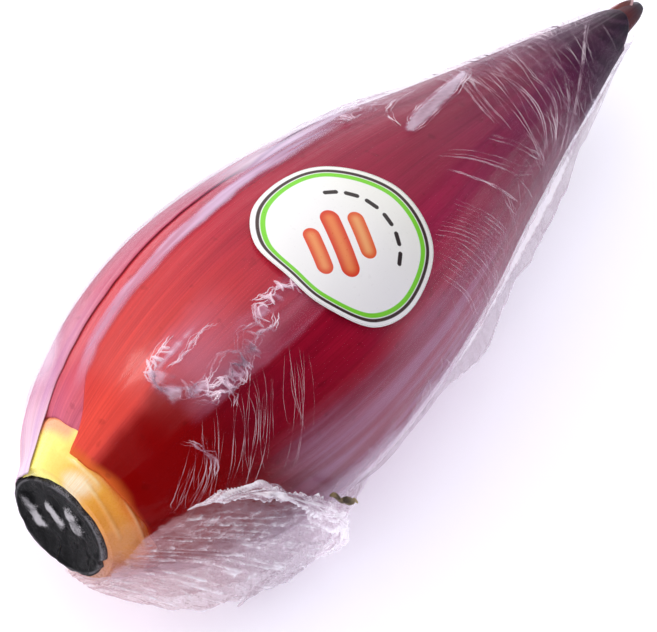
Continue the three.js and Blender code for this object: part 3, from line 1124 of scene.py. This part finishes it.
def strip_piece(name, paths, lift=0.15):
    """Pinched folds: each a low sharp ridge along a path of distances and angles, thin at both ends.

    A path is s, angle, width and height, each a row of numbers.
    """
    corners, faces, measures = [], [], []
    for s, angle, width, height in paths:
        count = len(s)
        around = np.gradient(np.radians(angle)) * BODY(s)
        ahead = np.gradient(s)
        size = np.maximum(np.hypot(ahead, around), 1e-6)
        side_s, side_a = -around / size, np.degrees(ahead / size / BODY(s))
        start = len(corners)
        rows = []
        for across, up in ((-0.5, 0.0), (0.0, 1.0), (0.5, 0.0)):
            at_s, at_a = s + side_s * width * across, angle + side_a * width * across
            rows.append(points(at_s, at_a, film_radius(at_s, at_a, lift + height * up)))
        for k in range(count):
            for row in rows:
                corners.append(row[k])
            measures += [(s[k], angle[k], 0.4), (s[k], angle[k], 1.0), (s[k], angle[k], 0.4)]
        for k in range(count - 1):
            for j in range(2):
                a = start + 3 * k + j
                faces.append((a, a + 1, a + 4, a + 3))
            a = start + 3 * k
            faces.append((a, a + 3, a + 5, a + 2))
        faces.append((start, start + 2, start + 1))
        last = start + 3 * (count - 1)
        faces.append((last, last + 1, last + 2))
    mesh = bpy.data.meshes.new(name)
    mesh.from_pydata([tuple(c) for c in corners], [], faces)
    kept = mesh.attributes.new("measures", "FLOAT_VECTOR", "POINT")
    kept.data.foreach_set("vector", np.array(measures, np.float32).ravel())
    piece = bpy.data.objects.new(name, mesh)
    bpy.context.scene.collection.objects.link(piece)
    alone()
    piece.select_set(True)
    bpy.context.view_layer.objects.active = piece
    bpy.ops.object.mode_set(mode="EDIT")
    bpy.ops.mesh.select_all(action="SELECT")
    bpy.ops.mesh.normals_make_consistent(inside=False)
    bpy.ops.object.mode_set(mode="OBJECT")
    return piece


FOLD_POINTS = 22
# Bundles of long folds: how many, where they begin (s and angle, each from and to), how many degrees they
# go round, how far they drift along a degree, their width and height in millimetres
BUNDLES = [
    (60, (196, 262), (26, 56), (20, 60), (-0.16, -0.02), 0.4, 0.3),
    (110, (192, 250), (34, 52), (14, 30), (-0.12, 0.06), 0.6, 0.5),
    (26, (198, 262), (-10, 40), (45, 90), (-0.18, -0.04), 0.35, 0.25),
    (30, (176, 236), (-62, -30), (20, 50), (-0.25, 0.15), 0.35, 0.3),
    (12, (122, 178), (-66, -48), (20, 45), (-0.12, 0.12), 0.35, 0.3),
    (44, (34, 78), (-40, -29), (14, 38), (-0.70, -0.35), 0.2, 0.2),
    (8, (24, 36), (-48, -38), (10, 20), (-0.7, -0.4), 0.14, 0.15),
    (60, (70, 264), (-92, -78), (14, 34), (-0.2, 0.2), 0.7, 0.5),
    (44, (60, 262), (60, 75), (-60, -20), (-0.1, 0.1), 0.6, 0.4),
]
# Fine folds side by side on the near side below the sticker's end: the first and the last of a set
SIDE_FANS = [
    ([(154, -36), (158, -44), (163, -55), (168, -72)], [(139, -40), (146, -49), (152, -62), (158, -82)], 9),
    ([(139, -40), (145, -50), (150, -64), (155, -84)], [(128, -47), (133, -58), (138, -72), (141, -92)], 8),
]
# Long folds that fan out towards the gathered side: distances and angles along each
FANS = [
    [(203, 29), (199, 14), (195, -2), (193, -18), (192.5, -32)],
    [(207, 18), (208.5, 0), (209, -18), (208, -36), (204, -54), (198, -66)],
    [(216, -10), (217, -26), (215, -44), (209, -60), (202, -72)],
    [(226.5, -12), (226, -30), (221, -50), (214, -66), (206, -80)],
    [(257, 24), (249, -2), (238, -30), (228, -50), (217, -70), (210, -88)],
    [(161, -17), (169, -26), (177, -40), (184, -55), (192, -66)],
    [(182, -26), (188, -38), (192, -50), (196, -62)],
    [(160, -24), (165, -33), (170, -43), (174, -53), (178, -66)],
    [(196, 20), (193, 6), (190, -8), (189, -22)],
]
# Crumpled lines: beside the sticker, and on the ridge
SQUIGGLES = [
    [(52, 0), (46, -1), (41, -3), (39, -8), (40, -13), (43, -17), (42, -21), (46, -25)],
    [(43, -18), (48, -21), (52, -20), (57, -18), (61, -21), (63, -25), (60, -29)],
    [(46, -25), (50, -28), (54, -30), (59, -28)],
    [(62, -22), (66, -17), (71, -19), (75, -15), (79, -17)],
    [(76, -13), (80, -15), (84, -15), (88, -18), (90, -20)],
    [(66, -24), (70, -22), (74, -24), (78, -21)],
    [(44, -8), (50, -9), (56, -8), (63, -9)],
    [(48, -20), (49, -24), (53, -25), (55, -28)],
    [(43, -24), (46, -29), (49, -27), (52, -31), (50, -35)],
    [(52, -23), (55, -26), (58, -24), (60, -27), (57, -31)],
    [(33, -33), (36, -40), (37, -47), (34, -53)],
    [(150, 24.5), (155.5, 30.5), (160, 35), (168, 42), (180, 49)],
    [(153.5, 25.5), (158, 26), (162.5, 25.5), (168, 33), (174, 36)],
    [(156, 38), (160, 30), (165, 33), (169, 27), (176, 31)],
    [(163, 0), (167, 7), (172, 10.5), (186.5, 18), (195.5, 22.5), (203, 29)],
    [(163, -0.5), (171.5, 1.5), (188.5, 9), (200.5, 20.5), (203, 29)],
    [(161, 6), (164, 16), (170, 24), (176, 27), (184, 30)],
]


# Short bright pleats side by side: their path, how many, and how long they are
PLEATS = [
    ([(49, -1), (44, -2), (41, -3.5), (38.5, -9.5), (40.5, -15.5), (45, -20.5)], 22, 3.4),
    ([(43, -18), (47, -22), (51, -25.5), (55.5, -27), (61, -25), (66, -24)], 30, 5.0),
    ([(66, -24), (70, -21), (74, -18.5), (79, -16.5), (83, -15), (89.5, -20)], 14, 4.0),
    ([(150, 26), (156, 30), (163, 36), (172, 44)], 12, 5.0),
]


def wandering(draw, guide, count, shake):
    """A smooth path through a guide's points, shaken a little."""
    guide = np.array(guide, float)
    at = np.linspace(0, len(guide) - 1, count)
    rows = [curve([(k, value) for k, value in enumerate(column)])(at) for column in guide.T]
    noise = [np.convolve(draw.normal(0, shake, count + 4), np.ones(5) / 2.2, "valid") for _ in rows]
    return [row + part for row, part in zip(rows, noise)]


def long_folds(seed):
    draw = np.random.default_rng(seed)
    paths = []
    for count, starts, angles, reaches, drifts, width, height in BUNDLES:
        for _ in range(count):
            t = np.linspace(0, 1, FOLD_POINTS)
            start, reach = draw.uniform(*angles), draw.uniform(*reaches)
            angle = start - reach * t
            drift, sag = draw.uniform(*drifts), draw.uniform(-2.5, 2.5)
            s = draw.uniform(*starts) + drift * reach * t + sag * np.sin(np.pi * t)
            s = s + 0.4 * np.cumsum(draw.normal(0, 0.14, t.size))
            s = np.clip(s, FILM_START + 2, FILM_END - 1)
            size = draw.uniform(0.35, 1.15)
            taper = np.sin(np.pi * t) ** 0.7 + 0.03
            paths.append((s, angle, width * size * taper, height * size * taper))
    for first, last, count in SIDE_FANS:
        for part in np.linspace(0, 1, count):
            guide = lerp(np.array(first, float), np.array(last, float), part + draw.uniform(-0.03, 0.03))
            s, angle = wandering(draw, guide, 40, 0.07)
            size = draw.uniform(0.6, 1.3)
            taper = np.sin(np.pi * np.linspace(0.04, 0.9, s.size)) ** 0.7
            paths.append((s, angle, 0.42 * size * taper, 0.4 * size * taper))
    for guide in FANS:
        for size in (1.3, 0.7, 0.5):
            s, angle = wandering(draw, guide, 44, 0.12)
            s = s + draw.normal(0, 1.6) * (size < 1)
            taper = np.sin(np.pi * np.linspace(0, 1, s.size)) ** 0.6 + 0.03
            paths.append((s, angle, 0.6 * size * taper, 0.4 * size * taper))
    return paths


def squiggles(seed):
    draw = np.random.default_rng(seed + 1)
    paths = []
    for guide in SQUIGGLES:
        slight = 0.6 if guide[0][0] > 100 else 1
        for shift, size in ((0.0, 1.0), (0.9, 0.6), (-0.8, 0.45)):
            s, angle = wandering(draw, guide, 9 * len(guide), 0.3)
            taper = np.sin(np.pi * np.linspace(0, 1, s.size)) ** 0.5 + 0.05
            uneven = 0.75 + 0.5 * swell(np.arange(s.size) / 4, 0 * s, seed + len(paths))
            taper = taper * uneven * size * slight
            paths.append((s + shift, angle - shift, 1.1 * taper, 0.4 * taper))
    return paths


def pleats(seed):
    draw = np.random.default_rng(seed + 2)
    paths = []
    for guide, count, length in PLEATS:
        s, angle = wandering(draw, guide, 200, 0.0)
        for _ in range(count):
            k = draw.integers(0, s.size)
            lean, size = np.radians(draw.uniform(48, 132)), draw.uniform(0.5, 1.3)
            t = np.linspace(-1, 1, 11)
            bow = draw.uniform(-0.35, 0.35) * (1 - t**2)
            ahead = length * size / 2 * (t * np.cos(lean) - bow * np.sin(lean))
            aside = length * size / 2 * (t * np.sin(lean) + bow * np.cos(lean))
            taper = (1 - t**2) ** 0.5 + 0.03
            wide = draw.uniform(0.5, 1.5)
            at = angle[k] + draw.uniform(-2, 1.5) + np.degrees(aside / BODY(s[k]))
            paths.append((s[k] + ahead, at, wide * taper, 0.55 * wide * taper))
    return paths


class BLOSSOM_OT_folds(bpy.types.Operator):
    """Builds the pinched folds and the crumples that stand out of the film"""

    bl_idname = "blossom.folds"
    bl_label = "Pinched folds"

    def execute(self, context):
        long = strip_piece("film_folds", long_folds(settings().folds))
        seed = settings().folds
        short = strip_piece("film_crumples", squiggles(seed) + pleats(seed))
        dress(long, fold_material("pinched fold", 0.26))
        dress(short, fold_material("crumpled film", 0.5))
        return {"FINISHED"}


def fold_material(name, opacity):
    """Film pinched into a sharp ridge, milky along its crest, the milk partly a painted highlight."""
    material, tree, shader, (along, round_it, crest) = new_material(name)
    patch = patches(tree, 9.0, 25.0)
    color = blend(patch["Patches"], "#d0a4c0", "#fae6f2")
    strength = scaled(patch["Patches"], opacity * 0.3, opacity * 1.3)
    alpha = strength * zone(crest, 0.4, 1.0, 0.25, 1.0)
    # Painted glow: the crests emit a little of their colour, for the light they pass on from the film
    # behind them.
    set_inputs(
        shader,
        Base_Color=color,
        Alpha=alpha,
        Emission_Color=color,
        Emission_Strength=0.2,
        Roughness=zone(patch["Grain"], 0.2, 0.8, 0.1, 0.3),
        Coat_Weight=1.0,
        Coat_Roughness=0.08,
    )
    return material


# The rolled upper edge of the gathered film: distance, angle, height over the bracts, and the roll's radius
ROLL = [(23, -60, 3.0, 0.2), (28, -60.3, 3.3, 0.8), (33, -61.5, 3.7, 1.9), (38, -64.5, 4.2, 1.6)]
ROLL += [(44, -69.5, 4.8, 2.5), (50, -77.5, 5.2, 2.1), (57, -89, 5.4, 3.2)]
# Its twisted tail, in millimetres: distance from the cut, side, height and radius
TAIL = [(62.5, -48, 37, 3.1), (67.5, -48.5, 29.5, 2.9), (69.5, -48, 22.5, 2.4), (67.5, -49, 16.5, 1.9)]
TAIL += [(63.5, -46.5, 12.5, 1.3), (60.5, -44, 10.5, 0.5)]
# A thin strand that lies along the foot of the gathered film
STRAND = [(36, -35, 3.2, 0.4), (42, -36.5, 6, 0.9), (48, -38, 8.5, 1.1), (54, -39.5, 12, 1.2)]
STRAND += [(60, -41.5, 17, 0.8)]


def rolled_piece(name, stations, seed, crumple):
    """A twisted roll of film along stations of x, y, z and radius in millimetres, closed at both ends."""
    rows = PIECES[name][0]
    column = np.array(stations, float).T
    at = np.linspace(0, len(stations) - 1, rows + 1)
    x, y, z, size = (curve([(k, value) for k, value in enumerate(part)])(at) for part in column)
    middle = np.stack([x, y, z], axis=-1)
    ahead = np.gradient(middle, axis=0)
    ahead = ahead / np.linalg.norm(ahead, axis=1)[:, None]
    # Frames carried along the path without turning
    first = np.cross(ahead[0], (0, 0, 1))
    sides = [first / np.linalg.norm(first)]
    for step in ahead[1:]:
        side = sides[-1] - step * np.dot(sides[-1], step)
        sides.append(side / np.linalg.norm(side))
    sides = np.array(sides)
    ups = np.cross(ahead, sides)

    def place(along, across):
        k = np.clip(np.rint(along * rows).astype(int), 0, rows)
        turn = 2 * np.pi * across
        twisted = turn + k / rows * 9
        onward = k / rows * len(stations)
        ridge = creases(3 + 2.6 * np.cos(twisted), 3 + 2.6 * np.sin(twisted) + onward * 1.1, seed)
        lobes = 0.3 * np.cos(2 * twisted) + 0.14 * np.cos(5 * twisted + 0.12 * k)
        lump = 0.3 * swell(k / rows * 3.1 * len(stations), np.cos(turn) + 2, seed + 7)
        radius = size[k] * np.maximum(0.75 + lobes + lump + crumple * (ridge - 0.35), 0.2)
        end = np.minimum(k, rows - k) / rows
        radius = radius * np.sqrt(np.clip(end / 0.02, 0, 1))
        out = sides[k] * np.cos(turn)[:, None] + ups[k] * np.sin(turn)[:, None]
        white = 0.12 + 1.05 * ridge + 0.2 * smoothstep(k / rows, 0.5, 0.65)
        return (middle[k] + out * radius[:, None]) * MM, (x[k] + LENGTH / 2, turn, white)

    return grid_piece(name, place)


def over_bracts(s, angle, height, radius):
    """A station of a roll that lies over the bracts."""
    x, y, z = points(s, angle, envelope(s, angle, GAP + height)) / MM
    return x, y, z, radius


class BLOSSOM_OT_bunch(bpy.types.Operator):
    """Builds the gathered film under the stalk end, and the fin along the near side"""

    bl_idname = "blossom.bunch"
    bl_label = "Gathered film"

    def execute(self, context):
        sheets = []
        for layer, (part, depth, seed) in enumerate(((1.0, 1.9, 91), (0.58, 1.5, 92))):

            def place(along, across, part=part, depth=depth, seed=seed, layer=layer):
                row = lerp(FILM_START - 1.5 * layer, BUNCH["end"] - 6 * layer, along)
                top = GATHER_EDGE(np.maximum(row - 6 * smoothstep(30 - row, 0, 11), 0)) - 2.5 * layer
                angle = lerp(top, BUNCH["foot"], across)
                s = row + forward(row, angle) + 1.3 * swell(angle / 9, 0 * angle, seed + 5) * (1 - along)
                s = np.maximum(s, MOUTH)
                w = angle * 0.9
                # Pleats run aslant, from the mouth down to the tail.
                aslant = (s * 0.68 + w * 0.74) / 2.2
                beside = (s * 0.74 - w * 0.68) / 24
                crumple = creases(aslant, beside, seed, 3)
                fine = creases(s / 3.4, w / 3.4, seed + 9, 2)
                room = bunched(s, angle)
                edge = smoothstep(np.minimum(across, 1 - across), 0, 0.05)
                much = smoothstep(room, 0.3, 3) * edge
                out = part * room + much * (depth * (crumple - 0.6) * 1.3 + 0.7 * (fine - 0.5))
                out = GAP + LOOSE + 0.1 * layer + np.maximum(out, 0)
                radius = above(0.15 + 0.3 * layer, s, angle, envelope(s, angle, out))
                height = np.clip(0.06 + 0.8 * crumple + 0.5 * (fine - 0.42), 0.02, 1)
                return points(s, angle, radius), (s, angle, height * much)

            sheets.append(grid_piece("film_gather_%d" % (layer + 1), place, flip=True))
        finish = film_material("gathered film", gathered_look)
        roll = [over_bracts(*station) for station in ROLL]
        roll += [(x - LENGTH / 2, y, z, size) for x, y, z, size in TAIL]
        strand = [(x - LENGTH / 2, y, z, size) for x, y, z, size in STRAND]
        sheets.append(rolled_piece("film_roll", roll, 95, 0.8))
        sheets.append(rolled_piece("film_strand", strand, 97, 0.4))

        def place_fin(along, across):
            s = lerp(FIN["start"], FIN["end"], along)
            # up one side of the folded film and down the other
            up = 1 - np.abs(2 * across - 1)
            side = np.where(across < 0.5, 1, -1)
            tall = np.maximum(fin_height(s) - 0.3, 0.05)
            wave = 0.7 * swell(s / 14, 0 * s, 101) + 0.35 * swell(s / 4, 0 * s, 102)
            apart = FIN["thickness"] / 2 * (1 - up**6)
            angle = FIN["angle"] + (wave * up**1.5 * tall / FIN["high"] + side * apart) / BODY(s) * DEGREES
            crinkle = creases(s / 2.3 + 1.7 * up, up * 0.8 + s / 31, 104, 3)
            uneven = 0.5 * (crinkle - 0.4) * smoothstep(up, 0.05, 0.3) * (1 - up**6)
            angle = angle + side * uneven / BODY(s) * DEGREES
            ragged = 0.06 * (1 + swell(s / 4, 0 * s, 103)) + 0.2 * (1 + swell(s / 13, 0 * s, 106))
            ragged = 1 - ragged * smoothstep(up, 0.3, 1)
            radius = film_radius(s, angle, up * tall * ragged - 0.1)
            foot = lerp(0.3, 0.5, smoothstep(s, 150, 195))
            # whiter at the root and along the folded edge: doubled film with a painted highlight, fainter
            # towards the tip
            white = 0.14 + 0.8 * smoothstep(foot - up, 0, 0.28) + 0.35 * smoothstep(up, 0.85, 0.97)
            white = white + 0.4 * crinkle
            white = white * lerp(1, 0.25, smoothstep(s, 196, 240))
            return points(s, angle, radius), (s, angle, np.clip(white, 0, 1))

        sheets.append(grid_piece("film_fin", place_fin))
        for sheet in sheets:
            dress(sheet, finish)
        # The wrap is one piece of film, and its folds, gathers and fin are listed with it.
        with_it = [bpy.data.objects[name] for name in ("film_folds", "film_crumples")] + sheets
        return {"FINISHED"}


# Sticker: its outline in distances from its middle, along the blossom and round it

STICKER = dict(s=111.6, angle=-19.6, scale=0.962, off=0.45, top=0.28, under=0.06)
STICKER_FACE = 0.6  # the share of its rows that lie on its face
STICKER_OUTLINE = [
    (-22, -9), (-12, -25), (5, -29), (24, -19), (29.5, 1.5),
    (19, 22), (5, 29.3), (-11, 28), (-22, 18), (-23.5, 4),
]


def sticker_edge(turn):
    """The sticker's outline as a smooth closed line, at a share of the way round."""
    outline = np.array(STICKER_OUTLINE, float)
    count = len(outline)
    place = (turn % 1) * count
    k = np.floor(place).astype(int)
    t = (place - k)[:, None]
    p0, p1, p2, p3 = (outline[(k + step) % count] for step in (-1, 0, 1, 2))
    line = (2 * p1) + (p2 - p0) * t + (2 * p0 - 5 * p1 + 4 * p2 - p3) * t**2
    return 0.5 * (line + (3 * p1 - p0 - 3 * p2 + p3) * t**3)


class BLOSSOM_OT_sticker(bpy.types.Operator):
    """Builds the sticker, curved over the film"""

    bl_idname = "blossom.sticker"
    bl_label = "Sticker"

    def execute(self, context):
        def place(along, across):
            # From the middle of the face out, over the edge and back underneath
            face = along < STICKER_FACE
            back = (along - STICKER_FACE) / (1 - STICKER_FACE)
            out = np.where(face, along / STICKER_FACE, 1 - back)
            edge = sticker_edge(across)
            u, w = edge[:, 0] * out * STICKER["scale"], edge[:, 1] * out * STICKER["scale"]
            s = STICKER["s"] + u
            angle = STICKER["angle"] + np.degrees(w / BODY(s))
            lifted = 0.35 * smoothstep(out, 0.8, 1.0) * (0.5 + 0.5 * swell(across * 9, 0 * across, 111))
            height = np.where(face, STICKER["top"], STICKER["under"]) + lifted
            height = height + 0.06 * swell(u / 8, w / 8, 112)
            radius = film_radius(s, angle, STICKER["off"] + height)
            return points(s, angle, radius), (u, w, out * (1.0 * face))

        sticker = grid_piece("round_sticker", place)
        dress(sticker, sticker_material())
        return {"FINISHED"}


def sticker_material():
    """White paper with a plain double ring, three plain slanting bars and a row of short dashes."""
    material, tree, shader, (u, w, out) = new_material("printed sticker")
    patch = patches(tree, 16.0, 31.0)
    color = blend(zone(u, 0, 26) * 0.3, "#fffefd", "#f4f8de")

    def ring(color, low, high, code):
        band = zone(out, low, low + 0.012) * zone(out, high + 0.012, high)
        return blend(band, color, code)

    color = ring(color, 0.83, 0.885, "#7fdd2c")
    color = ring(color, 0.895, 0.935, "#3a2420")

    def bar(color, middle, turn, half, width, inner, outer):
        distance = bar_distance(u, w, middle, turn, half)
        shade = blend(zone(distance, 0, width), inner, outer)
        return blend(zone(distance, width + 0.25, width), color, shade)

    color = bar(color, (-9.0, 3.5), 62, 5.0, 2.5, "#f79a5c", "#e8481c")
    color = bar(color, (-1.5, 1.0), 62, 8.0, 2.9, "#f58a4c", "#e23a14")
    color = bar(color, (6.0, -1.5), 62, 5.0, 2.5, "#f7a868", "#ea5a24")
    for k in range(6):
        turn = -52 + 21 * k
        middle = (17.0 * math.cos(math.radians(turn)), 17.5 * math.sin(math.radians(turn)))
        color = bar(color, middle, turn + 90, 1.6, 0.6, "#2c211f", "#2c211f")
    set_inputs(
        shader,
        Base_Color=color,
        Roughness=zone(patch["Grain"], 0.2, 0.8, 0.25, 0.4),
        Coat_Weight=0.4,
        Coat_Roughness=0.1,
    )
    bump(shader, patch["Patches"], 0.05, 0.0005)
    return material


SCRAP = dict(start=62.5, length=10.5, angle=-91, turn=14, height=2.4)


class BLOSSOM_OT_scrap(bpy.types.Operator):
    """Builds the dried scrap of a floret that lies on the gathered film"""

    bl_idname = "blossom.scrap"
    bl_label = "Floret scrap"

    def execute(self, context):
        def place(along, across):
            turn = 2 * np.pi * across
            ragged = np.abs(np.sin(2.5 * np.pi * along + 0.5 * np.sin(turn)))
            half = 0.12 + (0.8 + 1.3 * ragged) * np.sin(np.pi * along) ** 0.45
            half = closed(along, half * (1 + 0.35 * swell(across * 7, along * 5, 121)))
            s = SCRAP["start"] + SCRAP["length"] * along + 0.3 * np.sin(11 * along)
            first, last = SCRAP["angle"], SCRAP["angle"] - SCRAP["turn"]
            angle = first - SCRAP["turn"] * along + 0.5 * np.sin(9 * along)
            over = lerp(bunched(s, first + 0 * s), bunched(s, last + 0 * s), along)
            radius = envelope(s, angle, GAP + FILM + SCRAP["height"] + over)
            angle = angle + np.degrees(half * np.sin(turn) / BODY(s))
            return points(s, angle, radius + 0.7 * half * np.cos(turn)), (s, angle, along)

        scrap = grid_piece("dry_floret", place, flip=True)
        material, tree, shader, (along, _, _) = new_material("dried floret")
        patch = patches(tree, 2.5, 41.0)
        color = blend(patch["Patches"], "#40301c", "#8c7850")
        color = blend(zone(along, 68, 72.5), color, "#b8a880")
        set_inputs(
            shader,
            Base_Color=blend(patch["Specks"], color, "#c8bc90"),
            Roughness=zone(patch["Grain"], 0.2, 0.8, 0.6, 0.85),
        )
        bump(shader, patch["Grain"], 0.6)
        dress(scrap, material)
        return {"FINISHED"}


# Stage

CAMERA_AZIMUTH = 40.0
CAMERA_HEIGHT = 55.11
CAMERA_DISTANCE = 1.3
CAMERA_FOCUS = 4227.8  # in pixels of the 657 x 632 image
CAMERA_AIM = (36.1, -76.8)  # where the blossom's middle lies off the middle of the image, in pixels
IMAGE_WIDTH = 657
SENSOR = 36  # in millimetres
HOOD = (-0.44, -0.37, 0.82)  # the direction of the dark hood in the soft light
FLOOR_SIZE = 12
PANEL_PLACE = (-0.35, 0.55, 1.2)
PANEL_AIM = (-0.02, 0.0, 0.05)
PANEL_SIZE = (0.3, 0.3)


class BLOSSOM_OT_stage(bpy.types.Operator):
    """Builds the floor, the soft light and the camera"""

    bl_idname = "blossom.stage"
    bl_label = "Stage"

    def execute(self, context):
        self.camera()
        self.floor()
        self.lights()
        self.world()
        context.scene.view_settings.view_transform = "Standard"
        return {"FINISHED"}

    def camera(self):
        turn, height = math.radians(CAMERA_AZIMUTH), math.radians(CAMERA_HEIGHT)
        level = math.cos(height)
        back = Vector((-level * math.cos(turn), -level * math.sin(turn), math.sin(height)))
        right = Vector((math.sin(turn), -math.cos(turn), 0))
        up = right.cross(-back)
        middle = Vector((0, AXIS_Y * MM, 0.05))
        look = (-back * CAMERA_FOCUS - right * CAMERA_AIM[0] + up * CAMERA_AIM[1]).normalized()
        right = (right - look * right.dot(look)).normalized()
        up = right.cross(look)
        alone()
        bpy.ops.object.camera_add()
        camera = bpy.context.object
        camera.name = "camera"
        turned_to = Matrix((right, up, -look)).transposed()
        camera.matrix_world = Matrix.Translation(middle + back * CAMERA_DISTANCE) @ turned_to.to_4x4()
        camera.data.sensor_width = SENSOR
        camera.data.lens = CAMERA_FOCUS / IMAGE_WIDTH * SENSOR
        camera.data.clip_start, camera.data.clip_end = 0.05, 50
        bpy.context.scene.camera = camera

    def floor(self):
        alone()
        bpy.ops.mesh.primitive_grid_add(x_subdivisions=8, y_subdivisions=8, size=FLOOR_SIZE)
        floor = bpy.context.object
        floor.name = "floor"
        material = bpy.data.materials.new("white table")
        material.use_nodes = True
        tree = material.node_tree
        shader = tree.nodes["Principled BSDF"]
        cloud = noise_of(coordinates(tree, "Object"), 2, 3)
        color = blend(cloud, (0.9, 0.89, 0.98, 1), (0.92, 0.91, 0.99, 1))
        set_inputs(
            shader,
            Base_Color=color,
            Roughness=0.8,
            Emission_Color=(0.94, 0.94, 1.0, 1),
            Emission_Strength=0.28,
        )
        floor.data.materials.append(material)

    def lights(self):
        # Most of the light is the soft surroundings. One small panel puts glints on the folds.
        alone()
        bpy.ops.object.light_add(type="AREA", location=PANEL_PLACE)
        panel = bpy.context.object
        panel.name = "glint panel"
        panel.data.shape = "RECTANGLE"
        panel.data.size, panel.data.size_y = PANEL_SIZE
        panel.data.energy = settings().light
        panel.data.color = (1.0, 0.99, 0.97)
        panel.data.use_shadow = False
        toward = Vector(PANEL_AIM) - Vector(PANEL_PLACE)
        panel.rotation_euler = toward.to_track_quat("-Z", "Y").to_euler()

    def world(self):
        world = bpy.data.worlds.new("studio")
        bpy.context.scene.world = world
        world.use_nodes = True
        tree = world.node_tree
        ground = tree.nodes["Background"]
        place = coordinates(tree, "Generated")
        x, y, z = split(place)
        # Bright overhead and behind, dark low in front: the edge between them shows in the gloss.
        over = y + z * 0.72
        bright = zone(over, -0.04, 0.1) * zone(x, 1.0, 0.35, 0.45, 1.0)
        # A small dark hood in front of the cut end
        toward = node(tree, "ShaderNodeVectorMath", place, HOOD, operation="DOT_PRODUCT")
        hood = Value(toward.outputs["Value"])
        bright = bright * zone(hood, 0.99, 0.966)
        color = blend(bright, (0.12, 0.11, 0.15, 1), (1.0, 0.99, 1.0, 1))
        color = blend(zone(hood, 0.966, 0.99, 0.0, 0.9), color, (0.01, 0.01, 0.01, 1))
        seen = Value(node(tree, "ShaderNodeLightPath").outputs["Is Camera Ray"])
        set_inputs(ground, Color=blend(seen, color, (0.8, 0.8, 0.8, 1)), Strength=1.25)


class BLOSSOM_PT_panel(bpy.types.Panel):
    """Lists what the blossom is built of"""

    bl_idname = "BLOSSOM_PT_panel"
    bl_label = "Banana blossom"
    bl_space_type = "VIEW_3D"
    bl_region_type = "UI"
    bl_category = "Blossom"

    def draw(self, context):
        for name in ("red", "haze", "folds", "light"):
            self.layout.prop(context.scene.blossom, name)
        for operator in OPERATORS:
            self.layout.operator(operator.bl_idname)


OPERATORS = (
    BLOSSOM_OT_stage,
    BLOSSOM_OT_stalk,
    BLOSSOM_OT_bracts,
    BLOSSOM_OT_bud,
    BLOSSOM_OT_film,
    BLOSSOM_OT_folds,
    BLOSSOM_OT_bunch,
    BLOSSOM_OT_sticker,
    BLOSSOM_OT_scrap,
)


def register():
    for made in (BlossomSettings, *OPERATORS, BLOSSOM_PT_panel):
        bpy.utils.register_class(made)
    bpy.types.Scene.blossom = bpy.props.PointerProperty(type=BlossomSettings)


def unregister():
    del bpy.types.Scene.blossom
    for made in (BLOSSOM_PT_panel, *reversed(OPERATORS), BlossomSettings):
        bpy.utils.unregister_class(made)


def main():
    register()
    streak_group()
    mottle_group()
    for operator in OPERATORS:
        group, name = operator.bl_idname.split(".")
        getattr(getattr(bpy.ops, group), name)()


if __name__ == "__main__":
    main()
